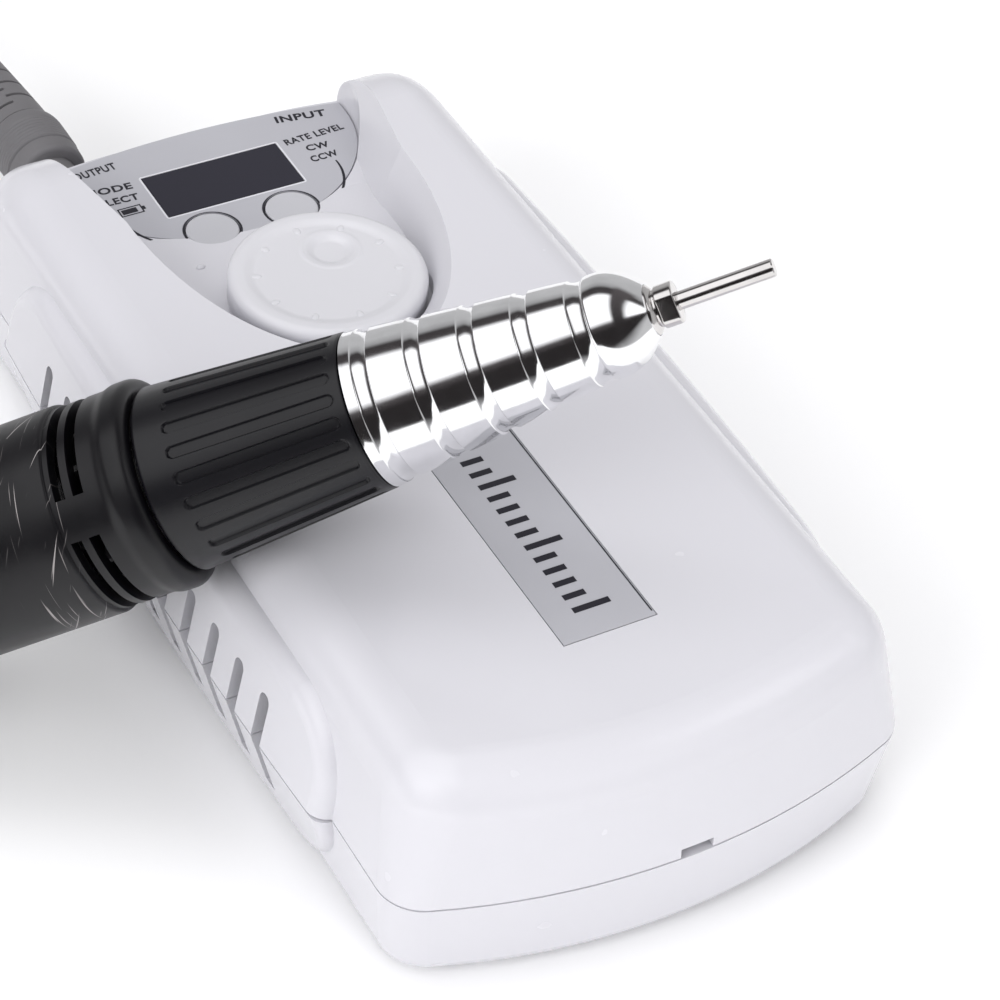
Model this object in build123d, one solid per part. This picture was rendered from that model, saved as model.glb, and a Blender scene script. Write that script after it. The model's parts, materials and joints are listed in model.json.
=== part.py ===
from build123d import *
import os
from math import cos, pi, radians, sin, tan

# Portable electric nail drill: a control box with its handpiece leaning on it.
# Millimetres. The box stands on z = 0 with its plan centre at the origin. +X is to the right
# of a person who reads the panel, and +Y points to the end with the two sockets.

os.makedirs("parts", exist_ok=True)

# ---------------------------------------------------------------- control box
HALF_LENGTH = 77.5
HALF_WIDTH = 38.0
TOP_HALF_LENGTH = 75.5
TOP_HALF_WIDTH = 35.2
NEAR_BOW = 7.6
FAR_BOW = 4.6
PLAN_CORNER = 6.5
TOP_CORNER = 11.0
TOP_Z = 35.0
SEAM_Z = 15.5
SEAM_GAP = 0.3
BASE_Z = 1.2
BASE_INSET = 1.6
TOP_ROUND = 7.5
HORN_ROUND = 18.0
HORN_EDGE_Z = 27.0
BASE_ROUND = 2.2
WALL = 2.0

# side bulges with the cooling slots
WING_HALF_LENGTH = 53.0
WING_TOP_Z = 29.5
WING_HALF_WIDTH = 41.6
WING_END_HALF_WIDTH = 39.9
WING_TOP_INSET = 2.6
WING_BASE_INSET = 3.6
WING_CORNER = 11.5
WING_CREST_ROUND = 3.2
WING_BASE_CORNER = 12.5
SLOT_COUNT = 11
SLOT_PITCH = 7.1
SLOT_FIRST_Y = -36.2
SLOT_WIDTH = 2.4
SLOT_TOP_Z = 23.3
SLOT_BASE_Z = 6.0

# scoop around the knob and the panel
SCOOP_Y = 47.5
SCOOP_HALF_WIDTH = 23.0
SCOOP_DEPTH_Y = 43.0
SCOOP_FAR_HALF_WIDTH = 29.5
SCOOP_FLOOR_HALF_WIDTH = 18.5
SCOOP_FLOOR_DEPTH_Y = 35.5
SCOOP_FLOOR_FAR_HALF_WIDTH = 26.0
SCOOP_FAR_Y = 88.0
SCOOP_LIP_Z = 25.9
SCOOP_LIP_Y = 49.0
SCOOP_TILT = 7.6
SCOOP_TOP_Z = 37.0
PANEL_Z = 25.3
PANEL_Y = 71.5
PANEL_HALF_WIDTH = 25.0
PANEL_DEPTH_Y = 22.5
LABEL_THICKNESS = 0.5
LABEL_GAP = 0.25

# controls
KNOB_Y = 26.8
KNOB_RADIUS = 14.4
KNOB_TOP_Z = 33.8
KNOB_HEIGHT = 4.4
KNOB_WELL_RADIUS = 15.1
KNOB_GAP = 0.5
POT_SHAFT_RADIUS = 3.0
POT_SIDE = 16.0
BUTTON_X = 6.5
BUTTON_Y = 52.0
BUTTON_RADIUS = 4.0
BUTTON_GAP = 0.25
BUTTON_TRAVEL = 0.35
LCD_Y = 62.5
LCD_WIDTH = 22.2
LCD_DEPTH = 10.2
LCD_GAP = 0.15
PLATE_WIDTH = 13.5
PLATE_NEAR_Y = -54.5
PLATE_FAR_Y = -4.5
PLATE_THICKNESS = 0.5

# sockets and what is behind the panel
SOCKET_X = 19.0
SOCKET_Z = 16.5
SOCKET_BORE = 3.3
SOCKET_WIDTH = 9.6
SOCKET_DEPTH = 13.0
SOCKET_HEIGHT = 11.0
SOCKET_FACE_Y = 72.5
WALL_HOLE_RADIUS = 4.4
POWER_BOARD_Z = 8.4
BOARD_THICKNESS = 1.6
DISPLAY_BOARD_Z = 16.9
CELL_RADIUS = 9.15
CELL_LENGTH = 65.0
CELL_PITCH = 19.0
CELL_Y = -25.0
CELL_Z = 13.6
SCREW_X = 30.0
SCREW_Y = (-62.0, 66.0)
SCREW_RADIUS = 1.25
BOSS_RADIUS = 3.6
FOOT_RADIUS = 4.5
FOOT_X = 27.0
FOOT_Y = (-56.0, 56.0)
FOOT_RECESS = 0.6

# ---------------------------------------------------------------- handpiece
# Stations are distances along its axis from the rear face of the tail cap.
TAIL_POINT = (-97.23, 14.34, 11.17)
HEADING = -27.3
NOSE_UP = 27.46
ROLL = -5.2
BARREL_RADIUS = 14.1
BARREL_BORE = 11.5
BARREL_START = 6.0
BARREL_END = 69.6
VENT_START = 58.2
VENT_END = 64.9
VENT_DEPTH = 0.45
VENT_STATIONS = (59.65, 62.2)
VENT_WIDTH = 1.5
VENT_SPAN = 96.5
VENTS_PER_ROW = 3
BULGE_RADIUS = 14.05
GRIP_START = 70.0
GRIP_END = 97.9
GRIP_REAR_RADIUS = 12.4
GRIP_FRONT_RADIUS = 10.35
GRIP_BORE = 8.08
FLUTE_COUNT = 22
FLUTE_PHASE = 9.0
FLUTE_WIDTH = 1.7
FLUTE_DEPTH = 0.45
FLUTE_START = 74.2
FLUTE_END = 96.6
NOSE_REAR_RADIUS = 10.3
NOSE_SHOULDER = 130.6
NOSE_SHOULDER_RADIUS = 6.45
NOSE_TIP = 136.0
NOSE_MOUTH = 3.5
NOSE_GROOVES = 5
NOSE_GROOVE_FIRST = 99.5
NOSE_GROOVE_PITCH = 6.88
NOSE_GROOVE_WIDTH = 2.0
NOSE_GROOVE_DEPTH = 0.45
NECK_RADIUS = 8.0
NECK_BORE = 7.0
QUILL_RADIUS = 5.2
QUILL_BORE = 4.3
SPINDLE_RADIUS = 2.45
SPINDLE_BORE = 1.9
SPINDLE_TIP = 138.6
SPINDLE_HEAD_RADIUS = 2.7
SPINDLE_FLATS = 4.5
SPINDLE_FLATS_LENGTH = 2.9
SPINDLE_FLATS_TURN = 72.0
COLLET_RADIUS = 1.85
COLLET_TIP = 139.3
PIN_RADIUS = 1.175
PIN_REAR = 118.0
PIN_TIP = 152.0
PIN_NECK_START = 138.45
PIN_NECK_END = 139.25
PIN_NECK_DEPTH = 0.2
PIN_CHAMFER = 0.15
RUNNING_CLEARANCE = 0.05
LOCK_TRAVEL = 1.2

# ---------------------------------------------------------------- cord
CORD_RADIUS = 2.25
CORD_FLOOR_Z = 2.4
ARC_SHARE = 0.45
PLUG_BARREL_RADIUS = 6.0
PLUG_NECK_RADIUS = 3.9
PLUG_NECK_START = 72.8
PLUG_BARREL_START = 84.0
PLUG_BARREL_END = 95.8
PLUG_BOOT_END = 121.0
PLUG_TIP_RADIUS = 2.75
PLUG_TIP_START = 64.5
TAIL_BOOT_BEND = 45.0
TAIL_BOOT_STRAIGHT = 6.0
COIL_CENTRE = (-118.0, 88.0)
COIL_INNER_TURN = 20.5
COIL_OUTER_TURN = 29.5
COIL_LAYERS = 2


def turned(points):
    """Solid of revolution about Z from a closed outline of (radius, height) points."""
    outline = make_face(Polyline(*points, close=True))
    return revolve(Plane.XZ * outline, Axis.Z)


def ring(outer, inner, start, end):
    """Plain tube about Z."""
    return turned([(inner, start), (outer, start), (outer, end), (inner, end)])


def rod(radius, start, end):
    """Solid cylinder about Z."""
    return Pos(0, 0, (start + end) / 2) * Cylinder(radius, end - start)


def block(width, depth, height, x, y, base_z):
    """Box by its plan centre and its lowest height."""
    return Pos(x, y, base_z + height / 2) * Box(width, depth, height)


def along_y(radius, start, end, x, z):
    """Cylinder along Y."""
    return Pos(x, (start + end) / 2, z) * Rot(90, 0, 0) * Cylinder(radius, end - start)


# ================================================================ box shells
def plan_outline(half_width, half_length, corner, z):
    """Plan outline with bowed ends and rounded corners."""
    near = -half_length + NEAR_BOW
    far = half_length - FAR_BOW
    outline = make_face([
        ThreePointArc((-half_width, near), (0, -half_length), (half_width, near)),
        Line((half_width, near), (half_width, far)),
        ThreePointArc((half_width, far), (0, half_length), (-half_width, far)),
        Line((-half_width, far), (-half_width, near)),
    ])
    return Pos(0, 0, z) * fillet(outline.vertices(), corner)


def wing_outline(half_width, end_half_width, z):
    """Plan outline of the side bulges, bowed outwards along their length."""
    reach = WING_HALF_LENGTH + 2 * WALL
    outline = make_face([
        Line((-end_half_width, -reach), (end_half_width, -reach)),
        ThreePointArc((end_half_width, -reach), (half_width, 0), (end_half_width, reach)),
        Line((end_half_width, reach), (-end_half_width, reach)),
        ThreePointArc((-end_half_width, reach), (-half_width, 0), (-end_half_width, -reach)),
    ])
    return Pos(0, 0, z) * outline


def wing_elevation(half_length, bottom, top, corner, level):
    """Side view of a bulge as a slab across the box, rounded at its upper (-1) or lower (0) level."""
    side = Plane.YZ * Pos(0, (bottom + top) / 2) * Rectangle(2 * half_length, top - bottom)
    side = fillet(side.vertices().group_by(Axis.Z)[level], corner)
    return extrude(side, WING_HALF_WIDTH + WALL, both=True)


def upper_wings(inset):
    """The bulges above the seam."""
    body = loft([
        wing_outline(WING_HALF_WIDTH - inset, WING_END_HALF_WIDTH - inset, SEAM_Z),
        wing_outline(WING_HALF_WIDTH - WING_TOP_INSET - inset,
                     WING_END_HALF_WIDTH - WING_TOP_INSET - inset, WING_TOP_Z),
    ], ruled=True)
    slab = wing_elevation(WING_HALF_LENGTH - inset, SEAM_Z, WING_TOP_Z - inset,
                          WING_CORNER - inset, -1)
    wings = body & slab
    crest = [
        edge for edge in wings.edges()
        if abs(edge.center().X) > HALF_WIDTH - 3 * WALL and edge.center().Z > SEAM_Z + 2 * WALL
    ]
    return fillet(crest, WING_CREST_ROUND - inset / 2)


def scoop_outline(half_width, depth, far_half_width):
    """U-shaped outline, round at the near end and open past the far end."""
    return make_face([
        EllipticalCenterArc((0, SCOOP_Y), half_width, depth, 180, arc_size=180),
        Line((half_width, SCOOP_Y), (far_half_width, SCOOP_FAR_Y)),
        Line((far_half_width, SCOOP_FAR_Y), (-far_half_width, SCOOP_FAR_Y)),
        Line((-far_half_width, SCOOP_FAR_Y), (-half_width, SCOOP_Y)),
    ])


def scoop(grow):
    """The hollow that the scoop removes: a sloping floor with flared walls."""
    floor = Pos(0, SCOOP_LIP_Y, SCOOP_LIP_Z - grow) * Rot(-SCOOP_TILT, 0, 0) * Pos(0, -SCOOP_LIP_Y, 0)
    low = floor * scoop_outline(SCOOP_FLOOR_HALF_WIDTH + grow, SCOOP_FLOOR_DEPTH_Y + grow,
                                SCOOP_FLOOR_FAR_HALF_WIDTH + grow)
    high = Pos(0, 0, SCOOP_TOP_Z) * scoop_outline(SCOOP_HALF_WIDTH + grow, SCOOP_DEPTH_Y + grow,
                                                  SCOOP_FAR_HALF_WIDTH + grow)
    below_panel = block(2 * HALF_WIDTH, 2 * SCOOP_FAR_Y, PANEL_Z - grow, 0, 0, 0)
    return loft([low, high], ruled=True) - below_panel


def panel_outline(shrink, far_y):
    """Outline of the flat panel: half an ellipse with straight sides to the far end."""
    half_width = PANEL_HALF_WIDTH - shrink
    return make_face([
        EllipticalCenterArc((0, PANEL_Y), half_width, PANEL_DEPTH_Y - shrink, 180, arc_size=180),
        Line((half_width, PANEL_Y), (half_width, far_y)),
        Line((half_width, far_y), (-half_width, far_y)),
        Line((-half_width, far_y), (-half_width, PANEL_Y)),
    ])


def panel_cut(grow):
    """The flat place cut for the panel label."""
    base = PANEL_Z - LABEL_THICKNESS - grow
    return Pos(0, 0, base) * extrude(panel_outline(-grow, SCOOP_FAR_Y), SCOOP_TOP_Z - base)


def horn_profile(inset):
    """Slab across the box whose far upper corner has the large round of the two horns."""
    length = 2 * HALF_LENGTH
    height = TOP_Z - inset
    side = Plane.YZ * Pos(-inset, height / 2) * Rectangle(length, height)
    corner = side.vertices().group_by(Axis.Z)[-1].sort_by(Axis.Y)[-1]
    return extrude(fillet(corner, HORN_ROUND - inset), 2 * HALF_WIDTH, both=True)


def upper_form(inset):
    """Outer form of the top shell, or its hollow when inset by the wall."""
    body = loft([
        plan_outline(HALF_WIDTH - inset, HALF_LENGTH - inset, PLAN_CORNER - inset / 2, SEAM_Z),
        plan_outline(TOP_HALF_WIDTH - inset, TOP_HALF_LENGTH - inset, TOP_CORNER - inset / 2,
                     TOP_Z - inset),
    ], ruled=True)
    body = body & horn_profile(inset)
    crest = [
        edge for edge in body.edges()
        if edge.center().Z > HORN_EDGE_Z and (abs(edge.center().X) > 1 or edge.center().Y < 0)
    ]
    body = fillet(crest, TOP_ROUND - inset)
    return (body + upper_wings(inset)) - scoop(inset) - panel_cut(inset)


def lower_form(inset):
    """Outer form of the bottom shell, or its hollow when inset by the wall."""
    base = BASE_Z + inset
    top = SEAM_Z - SEAM_GAP
    body = loft([
        plan_outline(HALF_WIDTH - BASE_INSET - inset, HALF_LENGTH - BASE_INSET - inset,
                     PLAN_CORNER - inset / 2, base),
        plan_outline(HALF_WIDTH - inset, HALF_LENGTH - inset, PLAN_CORNER - inset / 2, top),
    ], ruled=True)
    wings = loft([
        wing_outline(WING_HALF_WIDTH - WING_BASE_INSET - inset,
                     WING_END_HALF_WIDTH - WING_BASE_INSET - inset, base),
        wing_outline(WING_HALF_WIDTH - inset, WING_END_HALF_WIDTH - inset, top),
    ], ruled=True)
    wings = wings & wing_elevation(WING_HALF_LENGTH - inset, base, top, WING_BASE_CORNER - inset, 0)
    return round_base(body, inset) + round_base(wings, inset)


def round_base(solid, inset):
    """Round the lowest edges of one solid."""
    base_edges = solid.faces().sort_by(Axis.Z)[0].edges()
    return fillet(base_edges, BASE_ROUND - inset / 2)


def cooling_slots(base_z, top_z):
    """Row of upright slots through both side walls, round at the top."""
    radius = SLOT_WIDTH / 2
    depth = 2 * (WING_HALF_WIDTH + WALL)
    slot = Plane.YZ * (
        Pos(0, (base_z + top_z - radius) / 2) * Rectangle(SLOT_WIDTH, top_z - radius - base_z)
        + Pos(0, top_z - radius) * Circle(radius)
    )
    row = [
        Pos(0, SLOT_FIRST_Y + index * SLOT_PITCH, 0) * extrude(slot, depth / 2, both=True)
        for index in range(SLOT_COUNT)
    ]
    core = block(depth - 8 * WALL, 2 * HALF_LENGTH, TOP_Z, 0, 0, 0)
    return Part() + row - core


def screw_places():
    """Plan positions of the case screws."""
    return [(side * SCREW_X, y) for y in SCREW_Y for side in (-1, 1)]


def top_shell():
    """Upper casing half with scoop, panel seat, slots, socket holes and screw bosses."""
    outer = upper_form(0)
    shell = outer - upper_form(WALL)
    for x, y in screw_places():
        shell += Pos(x, y, 0) * rod(BOSS_RADIUS, SEAM_Z, TOP_Z) & outer
    for x, y in screw_places():
        shell -= Pos(x, y, 0) * rod(SCREW_RADIUS, SEAM_Z, SEAM_Z + 9)
    shell -= cooling_slots(SEAM_Z - WALL, SLOT_TOP_Z)
    shell -= Pos(0, KNOB_Y, 0) * rod(KNOB_WELL_RADIUS, KNOB_TOP_Z - KNOB_HEIGHT - KNOB_GAP, SCOOP_TOP_Z)
    shell -= Pos(0, KNOB_Y, 0) * rod(POT_SHAFT_RADIUS + KNOB_GAP, SEAM_Z, SCOOP_TOP_Z)
    shell -= block(LCD_WIDTH + 2 * LCD_GAP, LCD_DEPTH + 2 * LCD_GAP, 2 * WALL, 0, LCD_Y, PANEL_Z - 2 * WALL)
    for side in (-1, 1):
        shell -= Pos(side * BUTTON_X, BUTTON_Y, 0) * rod(BUTTON_RADIUS + BUTTON_GAP, SEAM_Z + WALL, SCOOP_TOP_Z)
        shell -= along_y(WALL_HOLE_RADIUS, SOCKET_FACE_Y, HALF_LENGTH + WALL, side * SOCKET_X, SOCKET_Z)
    shell -= block(PLATE_WIDTH + 2 * LCD_GAP, PLATE_FAR_Y - PLATE_NEAR_Y + 2 * LCD_GAP, WALL,
                   0, (PLATE_NEAR_Y + PLATE_FAR_Y) / 2, TOP_Z - PLATE_THICKNESS)
    shell -= block(4.8, 3 * WALL, 1.6, 1.4, -HALF_LENGTH, SEAM_Z - 0.2)
    return shell


def bottom_shell():
    """Lower casing half with slots, screw pillars and seats for the feet."""
    outer = lower_form(0)
    hollow = lower_form(WALL)
    shell = outer - hollow
    for x, y in screw_places():
        shell += Pos(x, y, 0) * rod(BOSS_RADIUS, BASE_Z + WALL, SEAM_Z - SEAM_GAP)
        shell -= Pos(x, y, 0) * rod(SCREW_RADIUS + 0.35, 0, SEAM_Z)
        shell -= Pos(x, y, 0) * rod(2.9, 0, BASE_Z + WALL + 2)
    for x, y in foot_places():
        shell -= Pos(x, y, 0) * rod(FOOT_RADIUS + 0.1, 0, BASE_Z + FOOT_RECESS)
    shell -= cooling_slots(SLOT_BASE_Z, SEAM_Z + SLOT_WIDTH)
    for side in (-1, 1):
        shell -= along_y(WALL_HOLE_RADIUS, SOCKET_FACE_Y, HALF_LENGTH + WALL, side * SOCKET_X, SOCKET_Z)
    return shell


def foot_places():
    """Plan positions of the rubber feet."""
    return [(side * FOOT_X, y) for y in FOOT_Y for side in (-1, 1)]


def rubber_feet():
    """Four round feet set into the base."""
    height = BASE_Z + FOOT_RECESS
    foot = fillet(rod(FOOT_RADIUS, 0, height).edges().group_by(Axis.Z)[0], 0.4)
    return [Pos(x, y, 0) * foot for x, y in foot_places()]


def case_screws():
    """Four pan-head screws up through the base into the bosses."""
    head_z = BASE_Z + WALL
    screw = rod(2.6, head_z, head_z + 1.9) + rod(SCREW_RADIUS, head_z, SEAM_Z + 7.5)
    screw -= block(0.6, 3.6, 0.8, 0, 0, head_z) + block(3.6, 0.6, 0.8, 0, 0, head_z)
    return [Pos(x, y, 0) * screw for x, y in screw_places()]


# ================================================================ box fittings
def panel_overlay():
    """Thin printed label with a window and two button openings."""
    base = PANEL_Z - LABEL_THICKNESS
    sheet = Pos(0, 0, base) * extrude(panel_outline(LABEL_GAP, SCOOP_FAR_Y), LABEL_THICKNESS)
    limit = plan_outline(TOP_HALF_WIDTH, TOP_HALF_LENGTH + 0.1, PLAN_CORNER, base)
    sheet &= extrude(limit, WALL)
    sheet -= block(LCD_WIDTH + 2 * LCD_GAP, LCD_DEPTH + 2 * LCD_GAP, WALL, 0, LCD_Y, base - 0.5)
    for side in (-1, 1):
        sheet -= Pos(side * BUTTON_X, BUTTON_Y, 0) * rod(BUTTON_RADIUS + BUTTON_GAP, base - 1, base + 1)
    return sheet


def lcd_window():
    """Dark glass set flush with the label."""
    return block(LCD_WIDTH, LCD_DEPTH, 1.3, 0, LCD_Y, PANEL_Z - 1.3)


def lcd_module():
    """Display block on its carrier, under the glass."""
    carrier_z = DISPLAY_BOARD_Z + BOARD_THICKNESS
    carrier = block(26.0, 14.0, PANEL_Z - WALL - LABEL_THICKNESS - 0.3 - carrier_z, 0, LCD_Y, carrier_z)
    return carrier + block(21.4, 9.4, PANEL_Z - 1.4 - carrier_z, 0, LCD_Y, carrier_z)


def push_button():
    """Round key cap with a stem down to its switch."""
    cap = rod(BUTTON_RADIUS, PANEL_Z - 1.6, PANEL_Z + 0.1)
    cap = fillet(cap.edges().group_by(Axis.Z)[-1], 0.3)
    return cap + rod(1.6, switch_top() + BUTTON_TRAVEL + 0.05, PANEL_Z - 1.6)


def switch_top():
    """Height of the top of the tactile switches."""
    return DISPLAY_BOARD_Z + BOARD_THICKNESS + 3.4


def tact_switches():
    """Two small square switches with plungers."""
    board_top = DISPLAY_BOARD_Z + BOARD_THICKNESS
    switch = block(4.5, 4.5, 2.4, 0, 0, board_top) + rod(1.1, board_top, switch_top())
    return [Pos(side * BUTTON_X, BUTTON_Y, 0) * switch for side in (-1, 1)]


def speed_knob():
    """Round knob with a finger dimple, raised dots and a hub for its shaft."""
    base = KNOB_TOP_Z - KNOB_HEIGHT
    knob = rod(KNOB_RADIUS, base, KNOB_TOP_Z)
    knob = fillet(knob.edges().group_by(Axis.Z)[-1], 1.2)
    knob -= Pos(4.6, KNOB_RADIUS * 0.18, KNOB_TOP_Z + 9.2) * Sphere(10.2)
    dots = range(-4, 5)
    for index in dots:
        angle = radians(90 + index * 30)
        knob += Pos(11.2 * cos(angle), 11.2 * sin(angle), KNOB_TOP_Z - 0.1) * Cylinder(0.6, 0.7)
    knob -= rod(POT_SHAFT_RADIUS, base, KNOB_TOP_Z - 1.6)
    return Pos(0, KNOB_Y, 0) * knob


def pot_shaft():
    """Round shaft from the potentiometer up into the knob."""
    return Pos(0, KNOB_Y, 0) * rod(POT_SHAFT_RADIUS, pot_top() + 0.1, KNOB_TOP_Z - 1.6)


def pot_top():
    """Height of the top of the potentiometer's case."""
    return DISPLAY_BOARD_Z + BOARD_THICKNESS + 6.0


def speed_pot():
    """Potentiometer case on the display board."""
    return block(POT_SIDE, POT_SIDE, 6.0, 0, KNOB_Y, DISPLAY_BOARD_Z + BOARD_THICKNESS)


def display_board():
    """Narrow board that carries the display, switches and potentiometer."""
    return block(27.0, 57.0, BOARD_THICKNESS, 0, 42.5, DISPLAY_BOARD_Z)


def power_board():
    """Charging and motor-drive board under the sockets."""
    return block(52.0, 56.0, BOARD_THICKNESS, 0, 43.0, POWER_BOARD_Z)


def board_posts():
    """Four pillars that hold the power board off the base."""
    return [
        Pos(side * 22.0, y, 0) * rod(2.5, BASE_Z + WALL, POWER_BOARD_Z)
        for y in (20.0, 68.0) for side in (-1, 1)
    ]


def board_header():
    """Pin header between the two boards."""
    base = POWER_BOARD_Z + BOARD_THICKNESS
    return block(5.0, 20.0, DISPLAY_BOARD_Z - base, -8.0, 30.0, base)


def drive_chips():
    """Power transistor and driver chips on the power board."""
    base = POWER_BOARD_Z + BOARD_THICKNESS
    return [block(6.5, 10.0, 2.3, 18.0, 28.0, base), block(8.0, 6.0, 1.6, 8.0, 52.0, base),
            Pos(-19.0, 26.0, 0) * rod(4.0, base, base + 9.0)]


def socket_body():
    """Barrel socket opening towards the far end, with its bore along Y."""
    base = SOCKET_Z - SOCKET_HEIGHT / 2
    body = block(SOCKET_WIDTH, SOCKET_DEPTH, SOCKET_HEIGHT, 0, SOCKET_FACE_Y - SOCKET_DEPTH / 2, base)
    return body - along_y(SOCKET_BORE, SOCKET_FACE_Y - 10.5, SOCKET_FACE_Y, 0, SOCKET_Z)


def motor_socket():
    """Socket that the handpiece plugs into."""
    return Pos(-SOCKET_X, 0, 0) * socket_body()


def charge_socket():
    """Charging socket with its centre pin."""
    pin = along_y(1.0, SOCKET_FACE_Y - 10.5, SOCKET_FACE_Y - 1.5, 0, SOCKET_Z)
    return Pos(SOCKET_X, 0, 0) * (socket_body() + pin)


def battery_cells():
    """Three round cells side by side."""
    cell = along_y(CELL_RADIUS, CELL_Y - CELL_LENGTH / 2, CELL_Y + CELL_LENGTH / 2, 0, CELL_Z)
    return [Pos(index * CELL_PITCH, 0, 0) * cell for index in (-1, 0, 1)]


def battery_tray():
    """Cradle under the cells with a groove for each."""
    tray = block(52.0, CELL_LENGTH + 8.0, 6.5, 0, CELL_Y, BASE_Z + WALL)
    for index in (-1, 0, 1):
        tray -= along_y(CELL_RADIUS + 0.05, CELL_Y - CELL_LENGTH / 2 - 1.2, CELL_Y + CELL_LENGTH / 2 + 1.2,
                        index * CELL_PITCH, CELL_Z)
    return tray


def cell_links():
    """Nickel strips that join the cells end to end."""
    half = CELL_LENGTH / 2
    near = block(CELL_PITCH + 8.0, 0.3, 7.0, -CELL_PITCH / 2, CELL_Y - half - 0.15, CELL_Z - 3.5)
    far = block(CELL_PITCH + 8.0, 0.3, 7.0, CELL_PITCH / 2, CELL_Y + half + 0.15, CELL_Z - 3.5)
    return [near, far]


def battery_leads():
    """Two insulated leads from the cells to the power board."""
    start_y = CELL_Y + CELL_LENGTH / 2
    leads = []
    for x in (-CELL_PITCH, -CELL_PITCH + 4.0):
        route = FilletPolyline((x, start_y, CELL_Z), (x, start_y + 6.0, CELL_Z),
                               (x, start_y + 9.0, POWER_BOARD_Z + 4.2),
                               (x, start_y + 14.0, POWER_BOARD_Z + 2.6), radius=1.5)
        leads.append(sweep(Plane(origin=route @ 0, z_dir=route % 0) * Circle(0.7), path=route))
    return leads


def name_plate():
    """Thin metal plate let into the top face."""
    return block(PLATE_WIDTH, PLATE_FAR_Y - PLATE_NEAR_Y, PLATE_THICKNESS,
                 0, (PLATE_NEAR_Y + PLATE_FAR_Y) / 2, TOP_Z - PLATE_THICKNESS)


# ================================================================ handpiece
def handpiece_place():
    """Location of the handpiece's axis: Z runs from the tail to the nose."""
    return Pos(*TAIL_POINT) * Rot(0, 0, HEADING) * Rot(0, 90 - NOSE_UP, 0) * Rot(0, 0, ROLL)


def rear_housing():
    """Black rear barrel with two rows of air slots and a raised collar."""
    housing = turned([
        (BARREL_BORE, BARREL_START), (BARREL_RADIUS, BARREL_START), (BARREL_RADIUS, VENT_START - 0.6),
        (BARREL_RADIUS - VENT_DEPTH, VENT_START), (BARREL_RADIUS - VENT_DEPTH, VENT_END),
        (BULGE_RADIUS - 0.3, VENT_END + 0.9), (BULGE_RADIUS, VENT_END + 2.0),
        (BULGE_RADIUS, BARREL_END - 1.6), (BULGE_RADIUS - 0.7, BARREL_END - 0.5),
        (BULGE_RADIUS - 1.4, BARREL_END), (BARREL_BORE, BARREL_END),
    ])
    for station in VENT_STATIONS:
        section = Plane.XZ * Pos(BARREL_RADIUS, station) * Rectangle(2 * (BARREL_RADIUS - BARREL_BORE + 1), VENT_WIDTH)
        slot = revolve(section, Axis.Z, VENT_SPAN)
        for index in range(VENTS_PER_ROW):
            step = 360 / VENTS_PER_ROW
            housing -= Rot(0, 0, index * step + (step - VENT_SPAN) / 2) * slot
    return housing


def tail_cap():
    """Rear cap with a spigot into the barrel and a hole for the cord."""
    cap = rod(BARREL_RADIUS, 0, BARREL_START)
    cap = fillet(cap.edges().group_by(Axis.Z)[0], 4.0)
    cap += rod(BARREL_BORE, BARREL_START, BARREL_START + 4)
    return cap - rod(3.2, 0, BARREL_START + 4)


def motor_can():
    """Steel motor case, open at the rear."""
    return turned([(10.6, 16), (11.5, 16), (11.5, 54), (1.7, 54), (1.7, 53), (10.6, 53)])


def motor_end_cap():
    """Brush holder that closes the motor's rear."""
    return turned([(1.7, 13), (11.5, 13), (11.5, 15.9), (1.7, 15.9)])


def motor_magnets():
    """Pair of curved field magnets inside the can."""
    section = Plane.XZ * Pos(9.35, 33) * Rectangle(2.3, 30)
    magnet = revolve(section, Axis.Z, 130)
    return [Rot(0, 0, angle) * magnet for angle in (0, 180)]


def motor_rotor():
    """Wound armature with its slots and commutator."""
    rotor = rod(7.8, 20, 46)
    for index in range(7):
        rotor -= Rot(0, 0, index * 360 / 7) * Pos(7.0, 0, 33) * Box(3.0, 1.4, 26)
    rotor += rod(3.6, 46, 50)
    return rotor - rod(1.5, 20, 50)


def motor_shaft():
    """Steel motor shaft."""
    return rod(1.5, 13, 71)


def cooling_fan():
    """Bladed fan behind the air slots."""
    fan = ring(4.0, 1.5, 59, 65) + ring(9.8, 1.5, 59, 60)
    for index in range(9):
        fan += Rot(0, 0, index * 40) * Pos(6.9, 0, 62.2) * Rot(0, 0, 12) * Box(5.8, 0.8, 5.2)
    return fan


def drive_coupling():
    """Rubber coupling from the motor shaft to the spindle."""
    return ring(5.6, 1.5, 66.6, 71) + ring(5.6, 0, 71, 76)


def motor_leads():
    """Two insulated leads from the cap to the brush holder."""
    return [Pos(x, 0, 0) * rod(0.8, 7.0, 12.95) for x in (-2.3, 2.3)]


def spindle_housing():
    """Fixed inner quill that carries the spindle's bearings."""
    return turned([
        (NECK_BORE, 67), (BARREL_BORE - 0.05, 67), (BARREL_BORE - 0.05, BARREL_END),
        (NECK_RADIUS, BARREL_END),
        (NECK_RADIUS, 97), (QUILL_RADIUS, 97), (QUILL_RADIUS, 132), (QUILL_BORE, 132),
        (QUILL_BORE, 95), (NECK_BORE, 95),
    ])


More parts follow.
